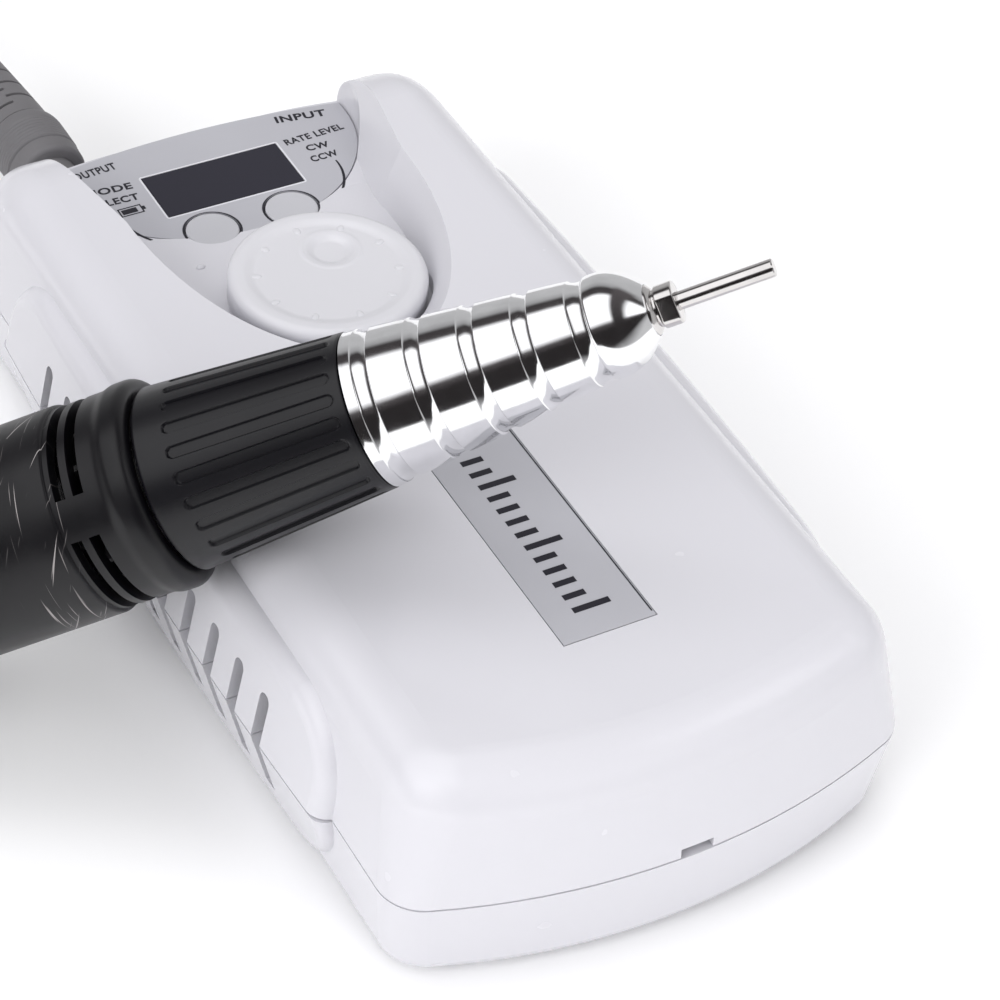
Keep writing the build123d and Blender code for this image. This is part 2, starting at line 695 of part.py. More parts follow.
def grip_sleeve():
    """Tapered black grip with a ring of long round-ended flutes."""
    sleeve = turned([
        (GRIP_BORE, GRIP_START), (GRIP_REAR_RADIUS - 0.6, GRIP_START), (GRIP_REAR_RADIUS, GRIP_START + 0.8),
        (GRIP_FRONT_RADIUS, GRIP_END - 0.1), (GRIP_BORE, GRIP_END - 0.1),
    ])
    slope = (GRIP_REAR_RADIUS - GRIP_FRONT_RADIUS) / (GRIP_END - GRIP_START)
    middle = (FLUTE_START + FLUTE_END) / 2
    radius = GRIP_REAR_RADIUS - slope * (middle - GRIP_START)
    surface = Plane(origin=(radius, 0, middle), x_dir=(-slope, 0, 1), z_dir=(1, 0, slope))
    flute = extrude(surface * SlotOverall(FLUTE_END - FLUTE_START, FLUTE_WIDTH), FLUTE_DEPTH, both=True)
    flutes = [Rot(0, 0, FLUTE_PHASE + index * 360 / FLUTE_COUNT) * flute for index in range(FLUTE_COUNT)]
    return sleeve - flutes


def nose_radius(station):
    """Outer radius of the nose between its rear edge and its dome."""
    share = (station - GRIP_END) / (NOSE_SHOULDER - GRIP_END)
    return NOSE_REAR_RADIUS + share * (NOSE_SHOULDER_RADIUS - NOSE_REAR_RADIUS)


def nose_cone():
    """Polished nose with shallow bands and a domed front."""
    tip = (NOSE_MOUTH, NOSE_TIP)
    shoulder = (NOSE_SHOULDER_RADIUS, NOSE_SHOULDER)
    dome = EllipticalCenterArc((NOSE_MOUTH, NOSE_SHOULDER), NOSE_SHOULDER_RADIUS - NOSE_MOUTH,
                               NOSE_TIP - NOSE_SHOULDER, 0, arc_size=90)
    rim = Polyline(tip, (NOSE_MOUTH, NOSE_TIP - 2), (QUILL_RADIUS + 0.1, NOSE_TIP - 3.6),
                   (QUILL_RADIUS + 0.1, 98), (NECK_RADIUS - 0.6, 98), (NECK_RADIUS - 0.6, GRIP_END),
                   (NOSE_REAR_RADIUS, GRIP_END), shoulder)
    nose = revolve(Plane.XZ * make_face([dome, rim]), Axis.Z)
    for index in range(NOSE_GROOVES):
        start = NOSE_GROOVE_FIRST + index * NOSE_GROOVE_PITCH
        end = start + NOSE_GROOVE_WIDTH
        floor = nose_radius((start + end) / 2) - NOSE_GROOVE_DEPTH
        nose -= ring(NOSE_REAR_RADIUS + 1, floor, start, end)
    return nose


def bearing(start, width):
    """Ball bearing drawn as its closed outer form."""
    return ring(QUILL_BORE - 0.02, SPINDLE_RADIUS + RUNNING_CLEARANCE, start, start + width)


def spindle():
    """Hollow spindle with spanner flats at its front end."""
    flats_start = SPINDLE_TIP - SPINDLE_FLATS_LENGTH
    body = ring(SPINDLE_RADIUS, SPINDLE_BORE, 82, flats_start)
    body += rod(SPINDLE_RADIUS, 76, 82)
    head = ring(SPINDLE_HEAD_RADIUS, SPINDLE_BORE, 133.0, SPINDLE_TIP)
    flats = Rot(0, 0, SPINDLE_FLATS_TURN) * block(SPINDLE_FLATS, 8, SPINDLE_FLATS_LENGTH, 0, 0, flats_start)
    head = head & (flats + rod(SPINDLE_HEAD_RADIUS, 133.0, flats_start))
    return body + head


def collet():
    """Split collet that grips the bit's shank."""
    sleeve = ring(COLLET_RADIUS, PIN_RADIUS + 0.02, 112, COLLET_TIP)
    slits = [Rot(0, 0, angle) * Pos(1.5, 0, 133) * Box(1.4, 0.3, 15) for angle in (90, 210, 330)]
    return sleeve - slits


def collet_spring():
    """Coil spring that pulls the collet shut."""
    wire = 0.45
    coil = Pos(0, 0, 90) * Helix(pitch=1.5, height=4.5, radius=3.35)
    return sweep(Plane(origin=coil @ 0, z_dir=coil % 0) * Circle(wire), path=coil, is_frenet=True)


def lock_pusher():
    """Sliding ring that the twisted sleeve drives against the collet spring."""
    return ring(NECK_BORE - 0.08, SPINDLE_RADIUS + 0.4, 79.0, 86.0)


def bit_shank():
    """Steel pin held in the collet, with a narrow neck at the collet's mouth that marks how far it goes in."""
    pin = rod(PIN_RADIUS, PIN_REAR, PIN_TIP)
    pin = chamfer(pin.edges().group_by(Axis.Z)[-1], PIN_CHAMFER)
    return pin - ring(PIN_RADIUS + 1, PIN_RADIUS - PIN_NECK_DEPTH, PIN_NECK_START, PIN_NECK_END)


# ================================================================ cord
def corner_radii(points):
    """Largest arcs that a route's runs leave room for, one for each inner point."""
    radii = []
    for before, corner, after in zip(points, points[1:], points[2:]):
        run_in = Vector(*corner) - Vector(*before)
        run_out = Vector(*after) - Vector(*corner)
        turn = radians(run_in.get_angle(run_out))
        radii.append(ARC_SHARE * min(run_in.length, run_out.length) / tan(turn / 2))
    return radii


def cord_tube(name, points):
    """Round tube along straight runs joined by arcs."""
    radii = corner_radii(points)
    route = FilletPolyline(*points, radius=radii)
    tube = sweep(Plane(origin=route @ 0, z_dir=route % 0) * Circle(CORD_RADIUS), path=route)
    expected = pi * CORD_RADIUS ** 2 * route.length
    print(name, "radii", [round(radius, 1) for radius in radii], "length", round(route.length, 1),
          "volume share", round(tube.volume / expected, 4))
    return tube - cord_coil()


def plug_route():
    """Route from the plug's boot to the coil."""
    coil_x, coil_y = COIL_CENTRE
    return [
        (-SOCKET_X, PLUG_BOOT_END, SOCKET_Z),
        (-SOCKET_X, PLUG_BOOT_END + 10, SOCKET_Z),
        (-24.0, 142.5, 12.6),
        (-35.5, 149.5, 6.6),
        (-51.0, 150.0, CORD_FLOOR_Z),
        (-67.0, 143.5, CORD_FLOOR_Z),
        (-82.0, 132.5, CORD_FLOOR_Z),
        (-99.0, 121.5, CORD_FLOOR_Z),
        (coil_x, coil_y + COIL_OUTER_TURN, CORD_FLOOR_Z),
    ]


def boot_frame():
    """Where the tail boot starts, and its heading over the ground, away from the nose."""
    heading = radians(HEADING)
    tilt = radians(NOSE_UP)
    away = Vector(-cos(heading), -sin(heading), 0)
    start = Vector(*TAIL_POINT)
    down = Vector(0, 0, -1)
    return start, away, down, tilt


def boot_path():
    """Centre line of the tail boot: straight out of the cap, then bending up to level."""
    start, away, down, tilt = boot_frame()
    exit_direction = away * cos(tilt) + down * sin(tilt)
    bend_start = start + exit_direction * TAIL_BOOT_STRAIGHT
    bend_end = (bend_start + away * (TAIL_BOOT_BEND * sin(tilt))
                + down * (TAIL_BOOT_BEND * (1 - cos(tilt))))
    straight = Line(start, bend_start)
    bend = TangentArc(bend_start, bend_end, tangent=exit_direction)
    return straight, bend


def tail_route():
    """Route from the coil to the tail boot."""
    coil_x, coil_y = COIL_CENTRE
    _, bend = boot_path()
    end = bend @ 1
    _, away, _, _ = boot_frame()
    before = end + away * 11
    return [
        (coil_x - COIL_OUTER_TURN, coil_y - 5.0, CORD_FLOOR_Z + 2 * CORD_RADIUS),
        (coil_x - COIL_OUTER_TURN + 0.5, coil_y - 17.0, CORD_FLOOR_Z + 3.4),
        (coil_x - COIL_OUTER_TURN + 1.8, coil_y - 31.0, CORD_FLOOR_Z + 0.8),
        (coil_x - COIL_OUTER_TURN + 5.2, coil_y - 45.0, CORD_FLOOR_Z + 0.2),
        (before.X, before.Y, end.Z),
        (end.X, end.Y, end.Z),
    ]


def cord_coil():
    """Outer shape of the put-away coil: a low ring of cord lying on the table."""
    height = COIL_LAYERS * 2 * CORD_RADIUS
    base = CORD_FLOOR_Z - CORD_RADIUS
    coil = ring(COIL_OUTER_TURN + CORD_RADIUS, COIL_INNER_TURN - CORD_RADIUS, base, base + height)
    coil = fillet(coil.edges(), CORD_RADIUS * 0.8)
    return Pos(*COIL_CENTRE, 0) * coil


def motor_plug_tip():
    """Metal contact barrel of the motor plug."""
    tip = along_y(PLUG_TIP_RADIUS, PLUG_TIP_START, PLUG_NECK_START, -SOCKET_X, SOCKET_Z)
    return tip - along_y(1.1, PLUG_TIP_START, PLUG_TIP_START + 6, -SOCKET_X, SOCKET_Z)


def motor_plug():
    """Moulded plug body with fine grip rings."""
    body = turned([
        (0, PLUG_NECK_START), (PLUG_NECK_RADIUS, PLUG_NECK_START), (PLUG_NECK_RADIUS, PLUG_BARREL_START),
        (PLUG_BARREL_RADIUS - 0.6, PLUG_BARREL_START), (PLUG_BARREL_RADIUS, PLUG_BARREL_START + 0.8),
        (PLUG_BARREL_RADIUS, PLUG_BARREL_END - 0.8), (PLUG_BARREL_RADIUS - 0.8, PLUG_BARREL_END),
        (0, PLUG_BARREL_END),
    ])
    for index in range(5):
        station = PLUG_BARREL_START + 4.4 + index * 1.5
        body -= ring(PLUG_BARREL_RADIUS + 1, PLUG_BARREL_RADIUS - 0.25, station, station + 0.5)
    return Pos(-SOCKET_X, 0, SOCKET_Z) * Rot(-90, 0, 0) * body


def motor_plug_boot():
    """Tapered strain relief with staggered slots."""
    boot = turned([
        (0, PLUG_BARREL_END), (5.2, PLUG_BARREL_END), (5.0, PLUG_BARREL_END + 3), (3.3, PLUG_BOOT_END),
        (0, PLUG_BOOT_END),
    ])
    for index in range(5):
        station = PLUG_BARREL_END + 5.5 + index * 3.6
        turn = 90 * (index % 2)
        for side in (-1, 1):
            boot -= Rot(0, 0, turn) * Pos(side * 5.0, 0, station) * Box(4.4, 12, 1.1)
    return Pos(-SOCKET_X, 0, SOCKET_Z) * Rot(-90, 0, 0) * boot


def tail_boot():
    """Ringed strain relief that bends from the tail cap down to the cord."""
    straight, bend = boot_path()
    path = Wire([straight.edge(), bend.edge()])
    core = sweep(Plane(origin=path @ 0, z_dir=path % 0) * Circle(3.0), path=path)
    rings = 7
    for index in range(rings):
        share = (index + 0.6) / rings * 0.92
        radius = 4.6 - 1.6 * share
        core += Plane(origin=path @ share, z_dir=path % share) * Cylinder(radius, 1.9)
    return core


# ================================================================ write all pieces
BOX_PIECES = {
    "top_shell": top_shell,
    "bottom_shell": bottom_shell,
    "rubber_feet": rubber_feet,
    "case_screws": case_screws,
    "panel_overlay": panel_overlay,
    "lcd_window": lcd_window,
    "lcd_module": lcd_module,
    "tact_switches": tact_switches,
    "speed_knob": speed_knob,
    "pot_shaft": pot_shaft,
    "speed_pot": speed_pot,
    "display_board": display_board,
    "power_board": power_board,
    "board_posts": board_posts,
    "board_header": board_header,
    "drive_chips": drive_chips,
    "motor_socket": motor_socket,
    "charge_socket": charge_socket,
    "battery_cells": battery_cells,
    "battery_tray": battery_tray,
    "cell_links": cell_links,
    "battery_leads": battery_leads,
    "name_plate": name_plate,
    "motor_plug_tip": motor_plug_tip,
    "motor_plug": motor_plug,
    "motor_plug_boot": motor_plug_boot,
    "tail_boot": tail_boot,
    "cord_coil": cord_coil,
}

HANDPIECE_PIECES = {
    "rear_housing": rear_housing,
    "tail_cap": tail_cap,
    "motor_can": motor_can,
    "motor_end_cap": motor_end_cap,
    "motor_magnets": motor_magnets,
    "motor_rotor": motor_rotor,
    "motor_shaft": motor_shaft,
    "cooling_fan": cooling_fan,
    "drive_coupling": drive_coupling,
    "motor_leads": motor_leads,
    "spindle_housing": spindle_housing,
    "grip_sleeve": grip_sleeve,
    "nose_cone": nose_cone,
    "spindle": spindle,
    "collet": collet,
    "collet_spring": collet_spring,
    "lock_pusher": lock_pusher,
    "bit_shank": bit_shank,
}


def write(node, shape):
    """Write one node, joining separate solids of a group in one file."""
    if isinstance(shape, list):
        shape = Compound(children=[solid for piece in shape for solid in piece.solids()])
    export_step(shape, f"parts/{node}.step")


def main():
    """Build and write every piece."""
    for node, build in BOX_PIECES.items():
        write(node, build())
    place = handpiece_place()
    for node, build in HANDPIECE_PIECES.items():
        shape = build()
        pieces = shape if isinstance(shape, list) else [shape]
        write(node, [place * piece for piece in pieces])
    write("rear_bearing", [place * bearing(97.0, 4.0)])
    write("front_bearing", [place * bearing(127.5, 4.0)])
    for side, node in ((-1, "mode_button"), (1, "direction_button")):
        write(node, Pos(side * BUTTON_X, BUTTON_Y, 0) * push_button())
    write("cord_from_plug", cord_tube("cord_from_plug", plug_route()))
    write("cord_to_handpiece", cord_tube("cord_to_handpiece", tail_route()))


main()
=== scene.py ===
"""Visual model of a portable electric nail drill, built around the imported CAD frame.

Metres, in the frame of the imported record. Lengths named _MM are millimetres.
"""

import json
import math

import bmesh
import bpy
from mathutils import Matrix, Vector


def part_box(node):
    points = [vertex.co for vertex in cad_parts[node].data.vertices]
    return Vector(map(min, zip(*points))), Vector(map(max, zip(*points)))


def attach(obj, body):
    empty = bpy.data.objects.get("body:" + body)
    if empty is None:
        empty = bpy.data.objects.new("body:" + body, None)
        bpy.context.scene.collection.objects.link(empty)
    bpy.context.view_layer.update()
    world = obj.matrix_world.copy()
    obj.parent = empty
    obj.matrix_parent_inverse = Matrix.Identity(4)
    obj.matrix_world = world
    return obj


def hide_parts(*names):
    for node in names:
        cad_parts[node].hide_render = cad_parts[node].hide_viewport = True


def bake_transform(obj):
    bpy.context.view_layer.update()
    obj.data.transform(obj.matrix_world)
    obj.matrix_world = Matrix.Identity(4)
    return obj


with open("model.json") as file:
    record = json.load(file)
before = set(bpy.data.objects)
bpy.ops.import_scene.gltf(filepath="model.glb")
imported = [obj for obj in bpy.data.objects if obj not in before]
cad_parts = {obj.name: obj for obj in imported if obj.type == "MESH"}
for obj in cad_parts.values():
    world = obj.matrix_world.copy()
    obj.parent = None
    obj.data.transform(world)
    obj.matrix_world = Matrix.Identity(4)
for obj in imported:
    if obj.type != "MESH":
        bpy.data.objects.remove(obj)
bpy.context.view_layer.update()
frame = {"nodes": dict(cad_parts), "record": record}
NODES = frame["nodes"]
RECORD = frame["record"]
MM = 0.001


# -------- helpers
def new_object(name, mesh, body, material):
    """A piece that rides on a body and takes the material it is given."""
    piece = bpy.data.objects.new(name, mesh)
    bpy.context.scene.collection.objects.link(piece)
    piece.data.materials.append(material)
    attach(piece, body)
    return piece


def finish_mesh(bm, name, sharp_degrees=35.0):
    """Mesh from bmesh with smooth faces and sharp edges by angle."""
    bmesh.ops.remove_doubles(bm, verts=bm.verts, dist=1e-7)
    bmesh.ops.recalc_face_normals(bm, faces=bm.faces)
    mesh = bpy.data.meshes.new(name)
    bm.to_mesh(mesh)
    bm.free()
    mesh.polygons.foreach_set("use_smooth", [True] * len(mesh.polygons))
    mesh.set_sharp_from_angle(angle=math.radians(sharp_degrees))
    return mesh


def polar(place, radius, angle, station):
    """Point at a radius and a station along a place's Z, both in millimetres."""
    return place @ Vector((radius * MM * math.cos(angle), radius * MM * math.sin(angle), station * MM))


def skin(bm, rings, loop=False, caps=False):
    """Quads between neighbouring rings; loop joins the last to the first, caps close both ends."""
    pairs = list(zip(rings, rings[1:]))
    if loop:
        pairs.append((rings[-1], rings[0]))
    for low, high in pairs:
        for k in range(len(low)):
            following = (k + 1) % len(low)
            bm.faces.new((low[k], low[following], high[following], high[k]))
    if caps:
        bm.faces.new(rings[0])
        bm.faces.new(rings[-1])


def curve_mesh(curve):
    """Mesh of a curve or a text; the curve itself is removed."""
    holder = bpy.data.objects.new(curve.name, curve)
    bpy.context.scene.collection.objects.link(holder)
    bpy.context.view_layer.update()
    mesh = bpy.data.meshes.new_from_object(holder.evaluated_get(bpy.context.evaluated_depsgraph_get()))
    bpy.data.objects.remove(holder)
    bpy.data.curves.remove(curve)
    return mesh


def lathe(name, profile, place, segments, sharp_degrees=35.0):
    """Closed solid of revolution from (radius, station) points; a point on the axis is a pole."""
    bm = bmesh.new()
    rings = [[bm.verts.new(polar(place, radius, 2 * math.pi * k / segments, station))
              for k in range(1 if radius < 1e-6 else segments)] for radius, station in profile]
    pairs = list(zip(rings, rings[1:]))
    if len(rings[0]) > 1 or len(rings[-1]) > 1:
        pairs.append((rings[-1], rings[0]))
    for low, high in pairs:
        for k in range(segments):
            following = (k + 1) % segments
            corners = [low[k % len(low)], low[following % len(low)],
                       high[following % len(high)], high[k % len(high)]]
            unique = list(dict.fromkeys(corners))
            if len(unique) > 2:
                bm.faces.new(unique)
    return finish_mesh(bm, name, sharp_degrees)


def arc(centre, radius, start, end, steps):
    """Points (radius, station) on an arc; angles in degrees, 0 points outwards."""
    return [
        (centre[0] + radius * math.cos(math.radians(start + (end - start) * k / steps)),
         centre[1] + radius * math.sin(math.radians(start + (end - start) * k / steps)))
        for k in range(steps + 1)
    ]


def spread(start, end, count):
    """Evenly spaced numbers, both ends included."""
    return [start + (end - start) * k / (count - 1) for k in range(count)]


def smoothstep(low, high, value):
    """0 below low, 1 above high, smooth between."""
    share = min(1.0, max(0.0, (value - low) / (high - low)))
    return share * share * (3 - 2 * share)


# -------- materials
class NodeTree:
    """Short way to fill a node tree."""

    def __init__(self, tree):
        self.tree = tree

    def add(self, kind, **values):
        node = self.tree.nodes.new(kind)
        for key, value in values.items():
            setattr(node, key, value)
        return node

    def link(self, source, target):
        self.tree.links.new(source, target)

    def feed(self, socket, value):
        """Link an output to an input, or set the input to a number or an opaque colour."""
        if hasattr(value, "is_linked"):
            self.link(value, socket)
        elif hasattr(value, "__len__"):
            socket.default_value = (*value[:3], 1.0)
        else:
            socket.default_value = value

    def mapping(self, vector, **values):
        node = self.add("ShaderNodeMapping")
        for key, value in values.items():
            node.inputs[key].default_value = value
        self.link(vector, node.inputs["Vector"])
        return node.outputs["Vector"]

    def split(self, vector):
        node = self.add("ShaderNodeSeparateXYZ")
        self.link(vector, node.inputs["Vector"])
        return node.outputs

    def ramp(self, source, stops):
        node = self.add("ShaderNodeValToRGB")
        elements = node.color_ramp.elements
        while len(elements) < len(stops):
            elements.new(0.5)
        for element, (position, colour) in zip(elements, stops):
            element.position = position
            value = colour if hasattr(colour, "__len__") else (colour,) * 3
            element.color = (*value[:3], 1.0)
        self.link(source, node.inputs["Fac"])
        return node.outputs["Color"]

    def math(self, operation, first, second):
        node = self.add("ShaderNodeMath", operation=operation)
        for socket, value in zip(node.inputs, (first, second)):
            self.feed(socket, value)
        return node.outputs["Value"]

    def mix(self, factor, first, second):
        node = self.add("ShaderNodeMix", data_type="RGBA")
        for index, value in ((0, factor), (6, first), (7, second)):
            self.feed(node.inputs[index], value)
        return node.outputs[2]


class Nodes(NodeTree):
    """Node tree of one new material."""

    def __init__(self, name):
        self.material = bpy.data.materials.new(name)
        self.material.use_nodes = True
        super().__init__(self.material.node_tree)
        self.shader = self.tree.nodes["Principled BSDF"]
        self.place = self.add("ShaderNodeTexCoord").outputs["Object"]

    def noise(self, scale, detail=4.0, vector=None):
        node = self.add("ShaderNodeTexNoise")
        node.inputs["Scale"].default_value = scale
        node.inputs["Detail"].default_value = detail
        self.link(vector or self.place, node.inputs["Vector"])
        return node.outputs["Fac"]

    def bump(self, height, strength, distance):
        node = self.add("ShaderNodeBump")
        node.inputs["Strength"].default_value = strength
        node.inputs["Distance"].default_value = distance
        self.link(height, node.inputs["Height"])
        before = self.shader.inputs["Normal"]
        if before.is_linked:
            self.link(before.links[0].from_socket, node.inputs["Normal"])
        self.link(node.outputs["Normal"], before)

    def set(self, **values):
        for key, value in values.items():
            self.feed(self.shader.inputs[key.replace("_", " ")], value)


def moulded(name, colour, roughness, grain=2600.0, grain_depth=0.00001, tint=0.03, coat=0.0):
    """Moulded plastic: faint colour variation, fine grain and uneven gloss."""
    nodes = Nodes(name)
    light = tuple(min(1.0, c * (1 + tint)) for c in colour)
    dark = tuple(c * (1 - tint) for c in colour)
    nodes.set(Base_Color=nodes.ramp(nodes.noise(38.0, 3.0), [(0.3, dark), (0.7, light)]))
    gloss = nodes.noise(140.0, 3.0)
    nodes.set(Roughness=nodes.ramp(gloss, [(0.2, roughness * 0.94), (0.8, roughness * 1.07)]))
    nodes.bump(nodes.noise(grain, 2.0), 0.25, grain_depth)
    nodes.shader.inputs["Coat Weight"].default_value = coat
    nodes.shader.inputs["Coat Roughness"].default_value = 0.12
    return nodes


def metal(name, colour, roughness, grain_depth=0.000004):
    """Metal with faint uneven tone, gloss and grain."""
    nodes = Nodes(name)
    light = tuple(min(1.0, c * 1.05) for c in colour)
    dark = tuple(c * 0.93 for c in colour)
    nodes.set(Metallic=1.0, Base_Color=nodes.ramp(nodes.noise(260.0), [(0.3, dark), (0.7, light)]))
    gloss = nodes.noise(420.0, 5.0)
    nodes.set(Roughness=nodes.ramp(gloss, [(0.25, roughness * 0.75), (0.75, roughness * 1.35)]))
    nodes.bump(nodes.noise(3000.0, 3.0), 0.3, grain_depth)
    return nodes


COATING_DARK, COATING_LIGHT = (0.0022, 0.0020, 0.0030), (0.0040, 0.0036, 0.0050)
SCRATCH_COLOUR = (0.30, 0.28, 0.28)
# lean of each set of scratches on the surface, and its noise scale across and along the barrel
SCRATCH_SETS = ((0.10, (60.0, 2600.0, 1.0)), (0.55, (90.0, 3000.0, 1.0)))


def scratched_black(name, place, radius, worn_from, worn_to):
    """Black satin coating on a barrel, with fine scratches and scuffs on a stretch of its length.

    place is the barrel's frame, its Z along the axis; lengths are in metres.
    """
    nodes = Nodes(name)
    inverse = place.inverted()
    local = nodes.mapping(nodes.place, Location=inverse.translation, Rotation=inverse.to_euler())
    x, y, z = nodes.split(local)
    surface = nodes.add("ShaderNodeCombineXYZ")
    nodes.link(nodes.math("MULTIPLY", nodes.math("ARCTAN2", y, x), radius), surface.inputs["X"])
    nodes.link(z, surface.inputs["Y"])
    base = nodes.ramp(nodes.noise(55.0), [(0.3, COATING_DARK), (0.7, COATING_LIGHT)])
    patches = nodes.ramp(nodes.noise(75.0, 2.0), [(0.46, 0.0), (0.60, 1.0)])
    window = nodes.math("MULTIPLY", smooth_window(nodes, z, worn_from, worn_to), patches)
    sets = []
    for turn, scale in SCRATCH_SETS:
        leaning = nodes.mapping(surface.outputs["Vector"], Rotation=(0, 0, turn))
        field = nodes.noise(1.0, 1.0, nodes.mapping(leaning, Scale=scale))
        sets.append(nodes.ramp(field, [(0.68, 0.0), (0.73, 1.0)]))
    marks = nodes.math("MULTIPLY", nodes.math("MAXIMUM", *sets), window)
    nodes.set(Base_Color=nodes.mix(marks, base, SCRATCH_COLOUR))
    nodes.set(Roughness=nodes.ramp(nodes.noise(220.0, 6.0), [(0.3, 0.32), (0.7, 0.42)]))
    nodes.bump(nodes.noise(2200.0, 3.0), 0.3, 0.00001)
    nodes.bump(marks, 0.3, 0.00002)
    nodes.shader.inputs["Specular IOR Level"].default_value = 0.42
    return nodes


def smooth_window(nodes, value, start, end):
    """1 between start and end, falling to 0 over a millimetre outside."""
    rise = nodes.add("ShaderNodeMapRange", interpolation_type="SMOOTHSTEP")
    fall = nodes.add("ShaderNodeMapRange", interpolation_type="SMOOTHSTEP")
    for node, low, high in ((rise, start - MM, start), (fall, end + MM, end)):
        node.inputs["From Min"].default_value = low
        node.inputs["From Max"].default_value = high
        nodes.link(value, node.inputs["Value"])
    return nodes.math("MULTIPLY", rise.outputs["Result"], fall.outputs["Result"])


def circuit_board(name):
    """Green board with faint tracks."""
    nodes = Nodes(name)
    tracks = nodes.add("ShaderNodeTexBrick")
    tracks.inputs["Scale"].default_value = 190.0
    tracks.inputs["Mortar Size"].default_value = 0.018
    tracks.inputs["Color1"].default_value = (0.012, 0.085, 0.035, 1)
    tracks.inputs["Color2"].default_value = (0.010, 0.070, 0.030, 1)
    tracks.inputs["Mortar"].default_value = (0.05, 0.19, 0.08, 1)
    nodes.link(nodes.place, tracks.inputs["Vector"])
    nodes.set(Base_Color=tracks.outputs["Color"])
    nodes.set(Roughness=nodes.ramp(nodes.noise(300.0), [(0.3, 0.3), (0.7, 0.45)]))
    return nodes


SHELL_WHITE = moulded("shell_white_plastic", (0.64, 0.635, 0.675), 0.26, 2400.0, 0.000008, 0.003, 0.2)
KNOB_WHITE = moulded("control_white_plastic", (0.63, 0.627, 0.66), 0.30, 2400.0, 0.000008, 0.003, 0.15)
LABEL = moulded("label_silver_print", (0.44, 0.44, 0.475), 0.42, 5200.0, 0.000014, 0.03)
LABEL_KEY = moulded("label_key_print", (0.50, 0.50, 0.53), 0.40, 5200.0, 0.000014, 0.03)
# black print; the same material also paints the gap shadow along the name plate's edge
PRINT_AND_SHADE_INK = moulded("black_print_and_painted_shade", (0.012, 0.011, 0.018), 0.5, 4000.0, 0.000004, 0.05)
PALE_INK = moulded("pale_print", (0.68, 0.68, 0.72), 0.45, 4000.0, 0.000004, 0.02)
WINDOW = moulded("display_window", (0.016, 0.015, 0.026), 0.32, 1500.0, 0.000003, 0.06)
BLACK_PLASTIC = moulded("black_plastic_moulded", (0.02, 0.02, 0.021), 0.5)
RUBBER = moulded("black_rubber", (0.018, 0.018, 0.018), 0.62, 1400.0, 0.00004, 0.1)
PLUG_GREY = moulded("grey_plug_rubber", (0.145, 0.141, 0.148), 0.62, 2600.0, 0.00003, 0.10)
CORD_GREY = moulded("grey_cord_jacket", (0.145, 0.141, 0.148), 0.55, 1800.0, 0.00002, 0.06)
CELL_WRAP = moulded("cell_wrap", (0.03, 0.09, 0.26), 0.34)
LEAD_RED = moulded("red_lead", (0.28, 0.014, 0.012), 0.4)
GRIP_BLACK = moulded("grip_black_coating", (0.0036, 0.0034, 0.0050), 0.36, 2600.0, 0.000022, 0.12)
GRIP_BLACK.shader.inputs["Specular IOR Level"].default_value = 0.46
STEEL = metal("turned_steel", (0.60, 0.59, 0.58), 0.24)
PIN_STEEL = metal("ground_steel", (0.70, 0.68, 0.67), 0.14)
NICKEL = metal("nickel_plate", (0.62, 0.60, 0.56), 0.26)
ALUMINIUM = metal("machined_aluminium", (0.72, 0.72, 0.73), 0.32)
COPPER = metal("copper_winding", (0.62, 0.26, 0.12), 0.3)
MAGNET = moulded("magnet_ceramic", (0.03, 0.03, 0.033), 0.6)
CHROME = metal("polished_chrome", (0.90, 0.90, 0.91), 0.10, 0.000003)
BOARD = circuit_board("circuit_board_green")

# -------- handpiece frame
SPINDLE_TIP_MM = 138.6
ROLL = math.radians(-5.2)
spin = next(joint for joint in RECORD["behaviour"]["joints"] if joint["name"] == "spindle_spin")
AXIS = Vector(spin["axis"]).normalized()
TAIL = Vector(spin["pos_m"]) - AXIS * SPINDLE_TIP_MM * MM
HEADING = math.atan2(AXIS.y, AXIS.x)
NOSE_UP = math.asin(AXIS.z)
HAND = (Matrix.Translation(TAIL) @ Matrix.Rotation(HEADING, 4, "Z")
        @ Matrix.Rotation(math.pi / 2 - NOSE_UP, 4, "Y") @ Matrix.Rotation(ROLL, 4, "Z"))

# -------- camera
FOCAL_PX = 3346.1
PICTURE_PX = 1000.0
SENSOR = 36.0
CAMERA_AT = Vector((-0.1706, -0.3059, 0.3321))
CAMERA_TURN = (math.radians(-31.28), math.radians(42.33), math.radians(4.51))


def make_camera():
    """Camera at the viewing angle of the reference view, and a plain tone curve."""
    azimuth, elevation, roll = CAMERA_TURN
    back = Vector((math.sin(azimuth) * math.cos(elevation),
                   -math.cos(azimuth) * math.cos(elevation), math.sin(elevation)))
    right = Vector((math.cos(azimuth), math.sin(azimuth), 0))
    up = back.cross(right)
    right_rolled = math.cos(roll) * right + math.sin(roll) * up
    up_rolled = math.cos(roll) * up - math.sin(roll) * right
    data = bpy.data.cameras.new("camera")
    data.sensor_width = SENSOR
    data.lens = FOCAL_PX / PICTURE_PX * SENSOR
    data.clip_start = 0.01
    data.clip_end = 20
    camera = bpy.data.objects.new("camera", data)
    rotation = Matrix((right_rolled, up_rolled, back)).transposed().to_4x4()
    camera.matrix_world = Matrix.Translation(CAMERA_AT) @ rotation
    bpy.context.scene.collection.objects.link(camera)
    bpy.context.scene.camera = camera
    bpy.context.scene.view_settings.view_transform = "Standard"


make_camera()


# -------- floor and light
SURROUND_STRENGTH = 0.5
SEEN_SURROUND = (2.0, 2.0, 2.0)
FLOOR_HALF, FLOOR_COLOUR = 0.6, (0.97, 0.97, 0.975)
# (degrees round the handpiece's axis, 0 towards the camera and positive downwards; brightness)
STRIPS = [(-180, 1.15), (-112, 1.0), (-100, 0.70), (-93, 0.09), (-79, 0.12), (-71, 2.6), (-12, 2.6),
          (-3, 0.15), (8, 0.05), (44, 0.05), (56, 0.6), (80, 1.15), (180, 1.15)]
